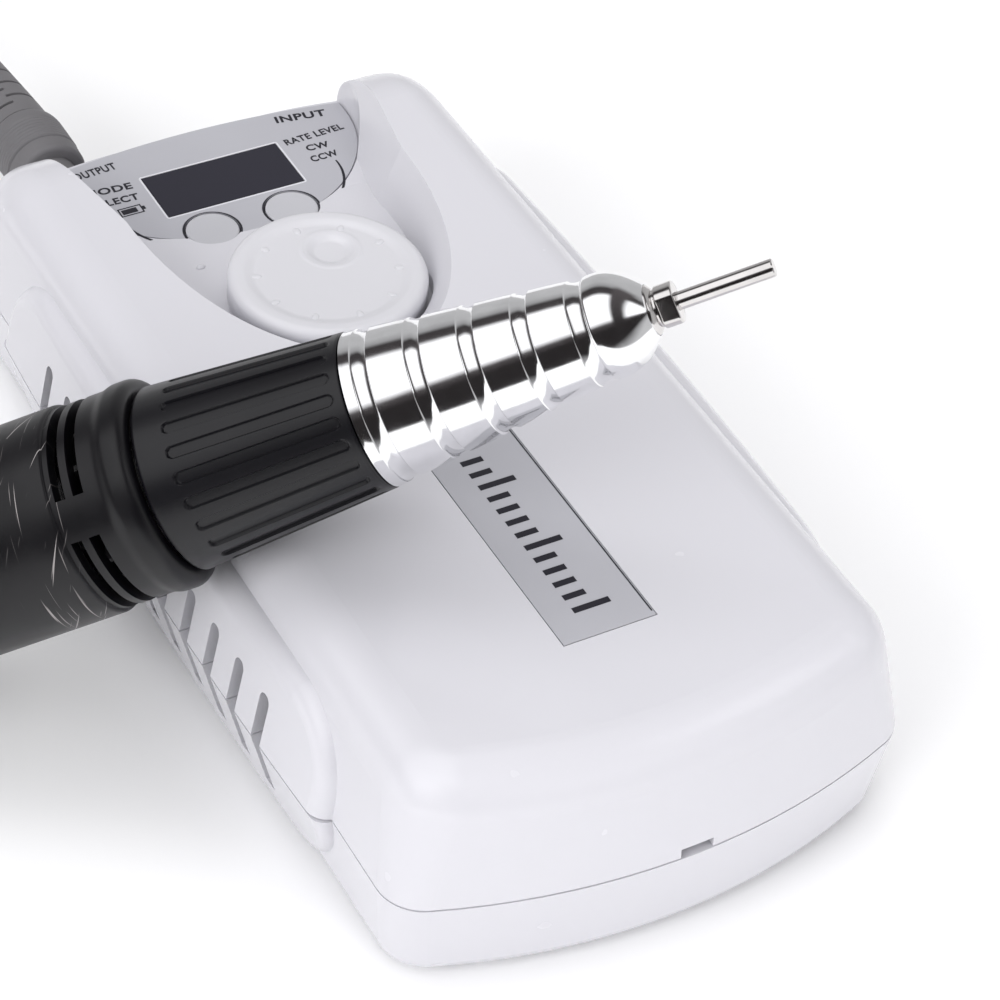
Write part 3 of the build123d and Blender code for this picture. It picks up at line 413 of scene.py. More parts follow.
# the same towards the ends of the strips, where the white one stops
END_STRIPS = [(-180, 1.15), (-112, 1.0), (-98, 0.20), (-60, 0.15), (8, 0.06), (44, 0.05), (60, 0.6),
              (80, 1.15), (180, 1.15)]
# (cosine of the angle to the axis, share of the second list)
ENDS = [(-0.86, 0.0), (-0.80, 1.0), (-0.58, 1.0), (-0.46, 0.0), (0.46, 0.0), (0.58, 1.0), (0.80, 1.0),
        (0.88, 0.0)]
DARK_BELOW, DARK_TINT, PALE_TINT = 0.3, (1.0, 0.90, 0.93), (1.0, 1.0, 1.015)
# name, place, size, watts
SOFT_BOXES = (("key", (-0.85, -0.35, 0.5), (0.7, 0.7), 6.0), ("top", (0.25, 0.35, 1.1), (1.1, 0.8), 4.8),
              ("front", (0.35, -1.0, 0.45), (0.9, 0.6), 5.6))
LIT_POINT = (0, 0, 0.02)


def area_light(name, place, size, power):
    """Soft box aimed at the object, unseen in reflections."""
    data = bpy.data.lights.new(name, "AREA")
    data.shape = "RECTANGLE"
    data.size, data.size_y = size
    data.energy = power
    light = bpy.data.objects.new(name, data)
    light.location = place
    light.rotation_mode = "QUATERNION"
    light.rotation_quaternion = (Vector(LIT_POINT) - Vector(place)).to_track_quat("-Z", "Y")
    light.visible_glossy = False
    bpy.context.scene.collection.objects.link(light)


def brightness_ramp(nodes, source, stops, low, high):
    """Colour ramp over values from low to high; dark stops get a faint warm tint."""
    tinted = []
    for at, value in stops:
        tint = DARK_TINT if value < DARK_BELOW else PALE_TINT
        tinted.append(((at - low) / (high - low), [value * share for share in tint]))
    return nodes.ramp(source, tinted)


def make_surround():
    """Pale surround with long light and dark strips parallel to the handpiece, like reflectors and flags.

    The strips show only in reflections and as soft light; seen directly, the surround is plain white.
    """
    world = bpy.data.worlds.new("studio")
    world.use_nodes = True
    nodes = NodeTree(world.node_tree)
    background = nodes.tree.nodes["Background"]
    towards = (CAMERA_AT - TAIL).normalized()
    first = (towards - AXIS * towards.dot(AXIS)).normalized()
    turn = Matrix((first, AXIS.cross(first), AXIS)).to_euler()
    vector = nodes.mapping(nodes.add("ShaderNodeTexCoord").outputs["Generated"], Rotation=turn)
    radial = nodes.add("ShaderNodeTexGradient", gradient_type="RADIAL")
    nodes.link(vector, radial.inputs["Vector"])
    along = nodes.math("MULTIPLY_ADD", nodes.split(vector)["Z"], 0.5)
    along.node.inputs[2].default_value = 0.5
    strips = brightness_ramp(nodes, radial.outputs["Fac"], STRIPS, -180, 180)
    end_strips = brightness_ramp(nodes, radial.outputs["Fac"], END_STRIPS, -180, 180)
    ends = brightness_ramp(nodes, along, ENDS, -1, 1)
    seen = nodes.add("ShaderNodeLightPath").outputs["Is Camera Ray"]
    lit = nodes.mix(ends, strips, end_strips)
    nodes.link(nodes.mix(seen, lit, SEEN_SURROUND), background.inputs["Color"])
    background.inputs["Strength"].default_value = SURROUND_STRENGTH
    bpy.context.scene.world = world


def make_stage():
    """Plain pale floor and soft boxes."""
    bm = bmesh.new()
    bmesh.ops.create_grid(bm, x_segments=1, y_segments=1, size=FLOOR_HALF)
    mesh = bpy.data.meshes.new("floor")
    bm.to_mesh(mesh)
    bm.free()
    floor = bpy.data.objects.new("floor", mesh)
    bpy.context.scene.collection.objects.link(floor)
    nodes = Nodes("floor_white")
    nodes.set(Base_Color=FLOOR_COLOUR, Roughness=0.9)
    floor.data.materials.append(nodes.material)
    for name, place, size, power in SOFT_BOXES:
        area_light(name, place, size, power)


make_surround()
make_stage()

# -------- handpiece nose and grip
GRIP_START_MM, GRIP_END_MM = 70.0, 97.9
GRIP_REAR_MM, GRIP_FRONT_MM, GRIP_BORE_MM = 12.4, 10.35, 8.08
FLUTES, FLUTE_PHASE = 22, 9.0
FLUTE_START_MM, FLUTE_END_MM = 74.2, 96.6
FLUTE_HALF_MM, FLUTE_DEPTH_MM = 0.85, 0.42
NOSE_REAR_MM, NOSE_SHOULDER_MM, NOSE_SHOULDER_AT = 10.3, 6.45, 130.6
NOSE_TIP_AT, NOSE_MOUTH_MM = 136.0, 3.35
DOME_AT, DOME_MM, DOME_REAR_BEND, DOME_FRONT_BEND = 130.2, 6.74, 0.05, 0.1007
GROOVE_FIRST, GROOVE_PITCH, GROOVE_WIDTH, GROOVES = 99.5, 6.88, 2.0, 5


def nose_radius(station):
    """Radius of the nose's plain taper."""
    share = (station - GRIP_END_MM) / (NOSE_SHOULDER_AT - GRIP_END_MM)
    return NOSE_REAR_MM + share * (NOSE_SHOULDER_MM - NOSE_REAR_MM)


def nose_profile():
    """Outline of the polished nose: bands with coved grooves, dome and bored mouth."""
    edge = 0.09
    points = [(7.5, GRIP_END_MM), (NOSE_REAR_MM - 0.15, GRIP_END_MM), (NOSE_REAR_MM, GRIP_END_MM + 0.15)]
    for index in range(GROOVES):
        start = GROOVE_FIRST + index * GROOVE_PITCH
        end = start + GROOVE_WIDTH
        begin = points[-1][1]
        for station in spread(begin, start - edge, 7)[1:]:
            share = (station - begin) / (start - begin)
            swell = 0.025 * math.sin(math.pi * share)
            points.append((nose_radius(station) + swell - 0.02, station))
        points.append((nose_radius(start) - 0.15, start))
        for share in spread(0.04, 0.96, 13):
            station = start + share * GROOVE_WIDTH
            cove = 0.17 + 0.22 * math.sin(math.pi * share)
            points.append((nose_radius(station) - cove, station))
        points.append((nose_radius(end) - 0.15, end))
        points.append((nose_radius(end + edge) - 0.02, end + edge))
    for station in spread(points[-1][1], NOSE_TIP_AT, 40)[1:]:
        away = station - DOME_AT
        bend = DOME_FRONT_BEND if away > 0 else DOME_REAR_BEND
        points.append((DOME_MM - bend * away * away, station))
    points += [(NOSE_MOUTH_MM + 0.1, NOSE_TIP_AT), (NOSE_MOUTH_MM, NOSE_TIP_AT - 0.1),
               (NOSE_MOUTH_MM, NOSE_TIP_AT - 2.0), (5.4, NOSE_TIP_AT - 3.6), (5.4, 99.0), (7.5, 99.0)]
    return points


def grip_radius(station):
    """Radius of the grip's plain taper with rounded ends."""
    share = (station - GRIP_START_MM) / (GRIP_END_MM - GRIP_START_MM)
    radius = GRIP_REAR_MM + share * (GRIP_FRONT_MM - GRIP_REAR_MM)
    rear = max(0.0, GRIP_START_MM + 0.6 - station) / 0.6
    front = max(0.0, station - (GRIP_END_MM - 0.35)) / 0.25
    return radius - 0.6 * (1 - math.sqrt(max(0.0, 1 - rear * rear))) - 0.12 * front * front


def flute_depth(station, sideways):
    """Depth of the long round-ended flute at a place, in millimetres."""
    beyond = max(0.0, FLUTE_START_MM + FLUTE_HALF_MM - station, station - FLUTE_END_MM + FLUTE_HALF_MM)
    outside = math.hypot(sideways, beyond) - FLUTE_HALF_MM
    return FLUTE_DEPTH_MM * (1 - smoothstep(-0.16, 0.02, outside))


def grip_mesh():
    """Fluted grip as a closed shell on a grid that follows the flutes."""
    across = (0.0, 0.32, 0.55, 0.68, 0.76, 0.82, 0.88, 0.96, 1.15)
    stations = (spread(GRIP_START_MM, GRIP_START_MM + 0.6, 7) + spread(72.0, 74.0, 3)
                + spread(74.15, 75.35, 15) + spread(76.5, 94.5, 13) + spread(95.45, 96.65, 15)
                + spread(97.0, GRIP_END_MM - 0.1, 5))
    bm = bmesh.new()
    rings = []
    half_pitch = math.pi / FLUTES
    for station in stations:
        radius = grip_radius(station)
        ring = []
        for flute in range(FLUTES):
            centre = math.radians(FLUTE_PHASE) + flute * 2 * half_pitch
            offsets = [-half_pitch * radius] + [-a for a in reversed(across[1:])] + list(across)
            for sideways in offsets:
                reach = radius - flute_depth(station, sideways)
                ring.append(bm.verts.new(polar(HAND, reach, centre + sideways / radius, station)))
        rings.append(ring)
    count = len(rings[0])
    angles = [2 * math.pi * k / count - half_pitch + math.radians(FLUTE_PHASE) for k in range(count)]
    for station in (GRIP_END_MM - 0.1, GRIP_START_MM):
        rings.append([bm.verts.new(polar(HAND, GRIP_BORE_MM, angle, station)) for angle in angles])
    skin(bm, rings, loop=True)
    return finish_mesh(bm, "grip_shell", 40.0)


nose = new_object("nose_shell", lathe("nose_shell", nose_profile(), HAND, 256, 30.0),
                  "sleeve", CHROME.material)
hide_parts("nose_cone")
grip = new_object("grip_shell", grip_mesh(), "sleeve", GRIP_BLACK.material)
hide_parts("grip_sleeve")

# -------- spindle with its collar and spanner nut
SPINDLE_MM, SPINDLE_BORE_MM, SHANK_HOLE_MM = 2.45, 1.9, 1.2
SPINDLE_REAR_AT, SPINDLE_BORE_AT, NUT_FROM, NUT_TO = 76.0, 82.0, 136.95, 139.4
SPINDLE_COLLAR_FROM, SPINDLE_COLLAR_MM = 133.6, 3.25
# (station, radius) of the steps from the collar down to the neck behind the nut
SPINDLE_STEPS = ((NOSE_TIP_AT, SPINDLE_COLLAR_MM), (136.22, 3.1), (136.32, 2.95), (136.62, 2.6),
                 (136.7, SPINDLE_MM), (136.93, SPINDLE_MM))
NUT_MM, NUT_FLATS_MM, NUT_TURN, NUT_CHAMFER_MM, NUT_ROUNDING_MM = 2.75, 2.2, 72.0, 0.28, 0.22


def spindle_sections():
    """(station, radius, distance of the flats or None) along the outside, then along the bore."""
    outside = [(SPINDLE_REAR_AT, SPINDLE_MM, None), (SPINDLE_COLLAR_FROM, SPINDLE_MM, None),
               (SPINDLE_COLLAR_FROM, SPINDLE_COLLAR_MM, None)]
    outside += [(station, radius, None) for station, radius in SPINDLE_STEPS]
    chamfer = NUT_CHAMFER_MM
    for share in spread(0, 1, 5):
        drop = chamfer * (1 - math.sqrt(max(0.0, 1 - (1 - share) ** 2)))
        outside.append((NUT_FROM + chamfer * share, NUT_MM - drop, NUT_FLATS_MM - drop))
    for share in spread(0, 1, 6):
        drop = chamfer * (1 - math.sqrt(max(0.0, 1 - share ** 2)))
        outside.append((NUT_TO - chamfer * (1 - share), NUT_MM - drop, NUT_FLATS_MM - drop))
    bore = [(NUT_TO, SHANK_HOLE_MM + 0.15, None), (NUT_TO - 0.04, SHANK_HOLE_MM, None),
            (NUT_TO - 0.08, SHANK_HOLE_MM, None), (NUT_TO - 0.08, SPINDLE_BORE_MM, None),
            (SPINDLE_BORE_AT, SPINDLE_BORE_MM, None)]
    return outside + bore


def spindle_mesh():
    """Hollow spindle: a lathe form whose front nut has two rounded flats."""
    segments = 192
    bm = bmesh.new()
    rings = []
    for station, radius, flats in spindle_sections():
        ring = []
        for k in range(segments):
            turn = 2 * math.pi * k / segments
            towards, across = radius * math.cos(turn), radius * math.sin(turn)
            if flats is not None:
                reach = abs(towards)
                blend = max(NUT_ROUNDING_MM - abs(reach - flats), 0.0)
                towards = math.copysign(min(reach, flats) - blend * blend / (4 * NUT_ROUNDING_MM), towards)
            place = Matrix.Rotation(math.radians(NUT_TURN), 4, "Z") @ Vector((towards, across, station))
            ring.append(bm.verts.new(HAND @ (place * MM)))
        rings.append(ring)
    skin(bm, rings, caps=True)
    return finish_mesh(bm, "spindle_shaft", 40.0)


spindle = new_object("spindle_shaft", spindle_mesh(), "spindle_unit", PIN_STEEL.material)
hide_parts("spindle")

# -------- rear barrel
BARREL_MM, BARREL_BORE_MM, BARREL_FROM = 14.1, 11.5, 6.0
VENT_FROM, VENT_TO, VENT_DEPTH_MM = 58.2, 64.9, 0.45
VENT_AT, VENT_WIDTH_MM, VENT_SPAN, VENT_ROWS = (59.65, 62.2), 1.5, 96.5, 3
COLLAR_MM, COLLAR_ROUND_AT = 14.05, 68.0
TAIL_HOLE_MM = 3.2


def barrel_outline():
    """(station, radius) along the outside of the rear barrel, slot edges among them."""
    floor = BARREL_MM - VENT_DEPTH_MM
    points = [(BARREL_FROM, BARREL_MM - 0.2), (BARREL_FROM + 0.2, BARREL_MM)]
    points += [(station, BARREL_MM) for station in spread(12, 54, 8)]
    points += [(VENT_FROM - 0.55, BARREL_MM), (VENT_FROM - 0.3, BARREL_MM - 0.05),
               (VENT_FROM - 0.12, BARREL_MM - 0.18), (VENT_FROM, floor)]
    for station in VENT_AT:
        points += [(station - VENT_WIDTH_MM / 2, floor), (station + VENT_WIDTH_MM / 2, floor)]
    points.append((VENT_TO - 0.5, floor))
    for share in spread(0, 1, 9):
        points.append((VENT_TO + 1.9 * share, floor + (COLLAR_MM - floor) * smoothstep(0, 1, share)))
    points.append((COLLAR_ROUND_AT, COLLAR_MM))
    for angle in spread(15, 90, 8):
        turn = math.radians(angle)
        points.append((COLLAR_ROUND_AT + 1.6 * math.sin(turn), COLLAR_MM - 1.5 * (1 - math.cos(turn))))
    return points


def barrel_mesh():
    """Tube with two rows of square-ended air slots cut through its wall."""
    webs = 120.0 - VENT_SPAN
    angles, in_slot = [], []
    for index in range(VENT_ROWS):
        start = index * 120.0 - webs / 2
        web_angles = spread(start, start + webs, 9)[:-1]
        slot_angles = spread(start + webs, start + 120.0, 49)[:-1]
        angles += web_angles + slot_angles
        in_slot += [False] * len(web_angles) + [True] * len(slot_angles)
    outline = barrel_outline()
    bm = bmesh.new()

    def ring(radius, station):
        return [bm.verts.new(polar(HAND, radius, math.radians(a), station)) for a in angles]

    outer = [ring(radius, station) for station, radius in outline]
    inner = [ring(BARREL_BORE_MM, station) for station, _ in outline]
    count = len(angles)
    open_rows = set()
    for row, (station, _) in enumerate(outline[:-1]):
        middle = (station + outline[row + 1][0]) / 2
        if any(abs(middle - at) < VENT_WIDTH_MM / 2 for at in VENT_AT):
            open_rows.add(row)

    def is_open(row, column):
        return row in open_rows and in_slot[column % count]

    for row in range(len(outline) - 1):
        for column in range(count):
            following = (column + 1) % count
            if not is_open(row, column):
                bm.faces.new((outer[row][column], outer[row][following],
                              outer[row + 1][following], outer[row + 1][column]))
                bm.faces.new((inner[row][column], inner[row + 1][column],
                              inner[row + 1][following], inner[row][following]))
                continue
            walls = []
            if not is_open(row - 1, column):
                walls.append(((row, column), (row, following)))
            if not is_open(row + 1, column):
                walls.append(((row + 1, column), (row + 1, following)))
            if not is_open(row, column - 1):
                walls.append(((row, column), (row + 1, column)))
            if not is_open(row, column + 1):
                walls.append(((row, following), (row + 1, following)))
            for (r1, c1), (r2, c2) in walls:
                bm.faces.new((outer[r1][c1], outer[r2][c2], inner[r2][c2], inner[r1][c1]))
    for row in (0, len(outline) - 1):
        for column in range(count):
            following = (column + 1) % count
            bm.faces.new((outer[row][column], outer[row][following],
                          inner[row][following], inner[row][column]))
    return finish_mesh(bm, "barrel_shell", 32.0)


BARREL_BLACK = scratched_black("barrel_black_coating", HAND, BARREL_MM * MM, 0.0495, 0.0585)
barrel = new_object("barrel_shell", barrel_mesh(), "handpiece", BARREL_BLACK.material)
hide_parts("rear_housing")
cap_profile = ([(TAIL_HOLE_MM, 0.0)] + arc((BARREL_MM - 4.0, 4.0), 4.0, -90, 0, 14)
               + [(BARREL_MM, BARREL_FROM - 0.25), (BARREL_MM - 0.2, BARREL_FROM),
                  (BARREL_BORE_MM, BARREL_FROM), (BARREL_BORE_MM, BARREL_FROM + 4.0),
                  (TAIL_HOLE_MM, BARREL_FROM + 4.0)])
tail_cap = new_object("tail_cap_shell", lathe("tail_cap_shell", cap_profile, HAND, 160),
                      "handpiece", BARREL_BLACK.material)
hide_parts("tail_cap")

# -------- finishes of the carried-over pieces
FINISHES = {
    "shell_white": SHELL_WHITE, "control_white": KNOB_WHITE, "label_silver": LABEL, "lcd_dark": WINDOW,
    "black_plastic": BLACK_PLASTIC, "circuit_board": BOARD, "cell_wrap": CELL_WRAP, "nickel": NICKEL,
    "steel": STEEL, "lead_red": LEAD_RED, "plug_grey": PLUG_GREY, "boot_black": RUBBER,
    "cord_grey": CORD_GREY, "barrel_black": BARREL_BLACK, "grip_black": GRIP_BLACK, "magnet": MAGNET,
    "copper": COPPER, "aluminium": ALUMINIUM, "nose_chrome": CHROME, "bit_steel": PIN_STEEL,
    "foot_rubber": RUBBER,
}


def finish_nodes():
    """Give every CAD node the material of its slot."""
    for part in RECORD["subparts"]:
        mesh = NODES[part["node"]].data
        mesh.materials.clear()
        mesh.materials.append(FINISHES[part["material_slot"]].material)
    for key in ("mode_button", "direction_button"):
        NODES[key].data.materials[0] = LABEL_KEY.material


finish_nodes()

# -------- speed knob
KNOB_LOW, KNOB_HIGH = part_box("speed_knob")
KNOB_CENTRE = Vector(((KNOB_LOW.x + KNOB_HIGH.x) / 2, (KNOB_LOW.y + KNOB_HIGH.y) / 2, 0))
KNOB_MM = (KNOB_HIGH.x - KNOB_LOW.x) / 2 / MM
KNOB_HEIGHT_MM = (KNOB_HIGH.z - KNOB_LOW.z) / MM
DISH_EDGE_MM, DISH_FLOOR_MM, DISH_DEPTH_MM = 12.3, 10.4, 0.42
DIMPLE_AT, DIMPLE_MM, DIMPLE_DEPTH_MM = (2.6, 4.6), 3.7, 0.55
KNOB_MARKS, MARK_RING_MM = 10, 10.3


def knob_height(x, y):
    """Height of the knob's face above its rim plane, in millimetres."""
    radius = math.hypot(x, y)
    edge = 1.5
    height = 0.0
    if radius > KNOB_MM - edge:
        inward = min(1.0, (radius - KNOB_MM + edge) / edge)
        height -= edge * (1 - math.sqrt(max(0.0, 1 - inward * inward)))
    height -= DISH_DEPTH_MM * (1 - smoothstep(DISH_FLOOR_MM, DISH_EDGE_MM, radius))
    away = math.hypot(x - DIMPLE_AT[0], y - DIMPLE_AT[1])
    height -= DIMPLE_DEPTH_MM * (1 - smoothstep(DIMPLE_MM - 1.5, DIMPLE_MM, away))
    height += 0.10 * math.exp(-((away - DIMPLE_MM - 0.45) / 0.35) ** 2)
    return height


def knob_mesh():
    """Speed knob: a polar height field with a soft edge, and its turned underside."""
    radii = (spread(0.15, DISH_FLOOR_MM, 60) + spread(DISH_FLOOR_MM + 0.12, KNOB_MM - 1.5, 18)
             + [KNOB_MM - 1.5 * (1 - math.sin(math.radians(a))) for a in spread(7, 90, 14)])
    segments = 240
    bm = bmesh.new()

    def vertex(radius, k, z):
        angle = 2 * math.pi * k / segments
        place = Vector((radius * math.cos(angle), radius * math.sin(angle), z)) * MM
        return bm.verts.new(KNOB_CENTRE + place)

    top = KNOB_HIGH.z / MM
    centre = vertex(0, 0, top + knob_height(0, 0))
    rings = []
    for radius in radii:
        rings.append([
            vertex(radius, k, top + knob_height(radius * math.cos(2 * math.pi * k / segments),
                                                radius * math.sin(2 * math.pi * k / segments)))
            for k in range(segments)
        ])
    bottom = top - KNOB_HEIGHT_MM
    for radius, z in ((KNOB_MM, bottom + 0.3), (KNOB_MM - 0.3, bottom), (0.9 * KNOB_MM, bottom)):
        rings.append([vertex(radius, k, z) for k in range(segments)])
    base = vertex(0, 0, bottom)
    for k in range(segments):
        following = (k + 1) % segments
        bm.faces.new((centre, rings[0][k], rings[0][following]))
        bm.faces.new((base, rings[-1][following], rings[-1][k]))
        for low, high in zip(rings, rings[1:]):
            bm.faces.new((low[k], high[k], high[following], low[following]))
    return finish_mesh(bm, "speed_dial", 50.0)


def bump_mesh(name, places, half_length, half_width, height):
    """Low rounded marks; each place is (x, y, z, angle) in metres and radians."""
    bm = bmesh.new()
    for x, y, z, angle in places:
        ball = bmesh.ops.create_icosphere(bm, subdivisions=3, radius=1.0)
        turn = Matrix.Translation((x, y, z)) @ Matrix.Rotation(angle, 4, "Z")
        size = Matrix.Diagonal((half_length * MM, half_width * MM, height * MM, 1))
        bmesh.ops.transform(bm, matrix=turn @ size, verts=ball["verts"])
    return finish_mesh(bm, name, 80.0)


dial = new_object("speed_dial", knob_mesh(), "knob", KNOB_WHITE.material)
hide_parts("speed_knob")
mark_places = []
for index in range(KNOB_MARKS):
    mark_angle = math.radians(18 + index * 360 / KNOB_MARKS)
    reach = MARK_RING_MM * MM
    mark_places.append((KNOB_CENTRE.x + reach * math.cos(mark_angle),
                        KNOB_CENTRE.y + reach * math.sin(mark_angle),
                        KNOB_HIGH.z - DISH_DEPTH_MM * MM, mark_angle))
new_object("speed_dial_marks", bump_mesh("speed_dial_marks", mark_places, 0.75, 0.5, 0.16),
           "knob", KNOB_WHITE.material)

# -------- motor plug and its strain relief
PLUG_LOW, PLUG_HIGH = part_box("motor_plug")
PLUG_AXIS_X, PLUG_AXIS_Z = (PLUG_LOW.x + PLUG_HIGH.x) / 2, (PLUG_LOW.z + PLUG_HIGH.z) / 2
PLUG_PLACE = Matrix.Translation((PLUG_AXIS_X, 0, PLUG_AXIS_Z)) @ Matrix.Rotation(-math.pi / 2, 4, "X")
PLUG_START_MM, PLUG_END_MM = PLUG_LOW.y / MM, PLUG_HIGH.y / MM
PLUG_MM, PLUG_NECK_MM, PLUG_COLLAR_AT = (PLUG_HIGH.x - PLUG_LOW.x) / 2 / MM, 3.9, 84.0
BOOT_END_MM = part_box("motor_plug_boot")[1].y / MM
BOOT_REAR_MM, BOOT_FRONT_MM = 3.3, 5.2
BOOT_SLITS, BOOT_SLIT_FIRST, BOOT_SLIT_PITCH, BOOT_SLIT_WIDTH = 10, 98.6, 2.05, 0.62


def plug_profile():
    """Moulded plug: neck, smooth collar, one deep line, fine rings and a round shoulder."""
    points = [(0.0, PLUG_START_MM), (PLUG_NECK_MM, PLUG_START_MM), (PLUG_NECK_MM, PLUG_COLLAR_AT)]
    points += arc((PLUG_MM - 1.0, PLUG_COLLAR_AT + 0.8), 0.8, -90, -10, 8)
    line_at = PLUG_COLLAR_AT + 3.3
    points += [(PLUG_MM - 0.1, line_at - 0.25), (PLUG_MM - 0.35, line_at - 0.1),
               (PLUG_MM - 0.35, line_at + 0.1), (PLUG_MM - 0.05, line_at + 0.28)]
    ring_pitch = 0.72
    rings = 7
    for step in range(rings * 6 + 1):
        station = line_at + 0.4 + step * ring_pitch / 6
        points.append((PLUG_MM - 0.045 * (1 - math.cos(2 * math.pi * step / 6)), station))
    shoulder = PLUG_END_MM - points[-1][1]
    for angle in spread(8, 84, 10):
        turn = math.radians(angle)
        points.append((PLUG_MM - 1.1 * (1 - math.cos(turn)), PLUG_END_MM - shoulder * (1 - math.sin(turn))))
    return points + [(BOOT_FRONT_MM - 0.4, PLUG_END_MM), (0.0, PLUG_END_MM)]


def boot_radius(station):
    """Outer radius of the strain relief."""
    share = (station - PLUG_END_MM) / (BOOT_END_MM - PLUG_END_MM)
    return BOOT_FRONT_MM + (BOOT_REAR_MM - BOOT_FRONT_MM) * share ** 1.15


def boot_depth(station, angle):
    """Depth of the staggered slits at a place, in millimetres."""
    index = round((station - BOOT_SLIT_FIRST) / BOOT_SLIT_PITCH)
    if not 0 <= index < BOOT_SLITS:
        return 0.0
    away = abs(station - BOOT_SLIT_FIRST - index * BOOT_SLIT_PITCH)
    turn = math.cos(2 * (angle - math.radians(40 + 90 * (index % 2))))
    wall = smoothstep(-0.12, 0.02, turn)
    return 1.15 * wall * (1 - smoothstep(BOOT_SLIT_WIDTH / 2 - 0.1, BOOT_SLIT_WIDTH / 2, away))


def boot_mesh():
    """Tapered strain relief as a cylindrical height field with slits."""
    stations = [PLUG_END_MM]
    for index in range(BOOT_SLITS):
        middle = BOOT_SLIT_FIRST + index * BOOT_SLIT_PITCH
        half = BOOT_SLIT_WIDTH / 2
        stations += [middle - half - 0.3, middle - half - 0.02, middle - half + 0.05, middle - half + 0.11,
                     middle, middle + half - 0.11, middle + half - 0.05, middle + half + 0.02]
    stations += [BOOT_END_MM - 0.5, BOOT_END_MM - 0.15, BOOT_END_MM]
    segments = 144
    bm = bmesh.new()
    rings = []
    for station in stations:
        ring = []
        for k in range(segments):
            angle = 2 * math.pi * k / segments
            reach = boot_radius(station) - boot_depth(station, angle)
            if station > BOOT_END_MM - 0.1:
                reach -= 0.35
            ring.append(bm.verts.new(polar(PLUG_PLACE, reach, angle, station)))
        rings.append(ring)
    skin(bm, rings, caps=True)
    return finish_mesh(bm, "plug_strain_relief", 40.0)


plug = new_object("plug_body", lathe("plug_body", plug_profile(), PLUG_PLACE, 160, 40.0),
                  "case", PLUG_GREY.material)
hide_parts("motor_plug")
plug_boot = new_object("plug_strain_relief", boot_mesh(), "case", PLUG_GREY.material)
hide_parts("motor_plug_boot")

# -------- cord
CORD_MM = 2.25
CORD_FLOOR_MM = 2.4
COIL_X_MM, COIL_Y_MM = -118.0, 88.0
COIL_RINGS_MM = (29.5, 25.0, 20.5)
COIL_STEP_MM = 4.5
COIL_POINTS_PER_TURN = 18
COIL_TURNS = 5.28
PLUG_RUN_MM = [
    (-19.0, 121.0, 16.5), (-19.0, 131.0, 16.5), (-24.0, 142.5, 12.6), (-35.5, 149.5, 6.6),
    (-51.0, 150.0, 2.4), (-67.0, 143.5, 2.4), (-82.0, 132.5, 2.4), (-99.0, 121.5, 2.4),
]
TAIL_RUN_MM = [
    (-147.0, 71.0, 5.8), (-145.7, 57.0, 3.2), (-142.3, 43.0, 2.6), (-130.2, 31.3, 3.33), (-120.4, 26.3, 3.33),
]


def coil_run():
    """Points of the put-away coil: three rings on the table and three on top of them.

    The cord steps inwards over the last sixth of each lower turn, climbs at the end of the third, and steps
    outwards again over an earlier sixth of each upper turn, so that it always lies beside or on itself.
    """
    points = []
    for k in range(int(COIL_TURNS * COIL_POINTS_PER_TURN) + 1):
        turns = k / COIL_POINTS_PER_TURN
        angle = math.pi / 2 + turns * 2 * math.pi
        if turns < 3:
            ring = int(turns)
            roll = max(0.0, (turns - ring) * 6 - 5) * math.pi / 2
            radius = COIL_RINGS_MM[ring]
            height = CORD_FLOOR_MM
            if ring < 2:
                radius -= COIL_STEP_MM * (1 - math.cos(roll))
            else:
                height += COIL_STEP_MM * math.sin(roll)
        else:
            ring = int(turns - 3 + 1 / 6)
            step = max(0.0, (turns - 3 + 1 / 6 - ring) * 6 - 5)
            radius = COIL_RINGS_MM[2 - ring] + COIL_STEP_MM * smoothstep(0, 1, step)
            height = CORD_FLOOR_MM + COIL_STEP_MM
        points.append((COIL_X_MM + radius * math.cos(angle), COIL_Y_MM + radius * math.sin(angle), height))
    return points


def nurbs_line(name, points):
    """Dense points of a NURBS spline through the control points, in metres."""
    curve = bpy.data.curves.new(name, "CURVE")
    curve.dimensions = "3D"
    curve.resolution_u = 8
    spline = curve.splines.new("NURBS")
    spline.points.add(len(points) - 1)
    for target, point in zip(spline.points, points):
        target.co = (point[0] * MM, point[1] * MM, point[2] * MM, 1.0)
    spline.order_u = 3
    spline.use_endpoint_u = True
    mesh = curve_mesh(curve)
    line = [vertex.co.copy() for vertex in mesh.vertices]
    bpy.data.meshes.remove(mesh)
    return line


def tube_mesh(name, line, radius, segments=20):
    """Round tube with closed ends along a line, its section carried without twist."""
    bm = bmesh.new()
    rings = []
    side = None
    for index, point in enumerate(line):
        ahead = line[min(index + 1, len(line) - 1)] - line[max(index - 1, 0)]
        ahead.normalize()
        if side is None:
            side = ahead.orthogonal()
        side = (side - ahead * side.dot(ahead)).normalized()
        other = ahead.cross(side)
        rings.append([
            bm.verts.new(point + radius * (math.cos(2 * math.pi * k / segments) * side
                                           + math.sin(2 * math.pi * k / segments) * other))
            for k in range(segments)
        ])
    skin(bm, rings, caps=True)
    return finish_mesh(bm, name, 60.0)


cord_line = nurbs_line("cord_route", PLUG_RUN_MM + coil_run() + TAIL_RUN_MM)
cord = bpy.data.objects.new("cord", tube_mesh("cord", cord_line, CORD_MM * MM))
bpy.context.scene.collection.objects.link(cord)
cord.data.materials.append(CORD_GREY.material)
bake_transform(cord)
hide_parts("cord_from_plug", "cord_coil", "cord_to_handpiece")

# -------- printed marks on the panel
PANEL_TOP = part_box("panel_overlay")[1].z
PRINT_MM = 0.02
GLASS_LOW, GLASS_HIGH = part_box("lcd_window")


def quad(x1, x2, y1, y2):
    """Outline of a rectangle by its edges in millimetres."""
    return [(x1 * MM, y1 * MM), (x2 * MM, y1 * MM), (x2 * MM, y2 * MM), (x1 * MM, y2 * MM)]


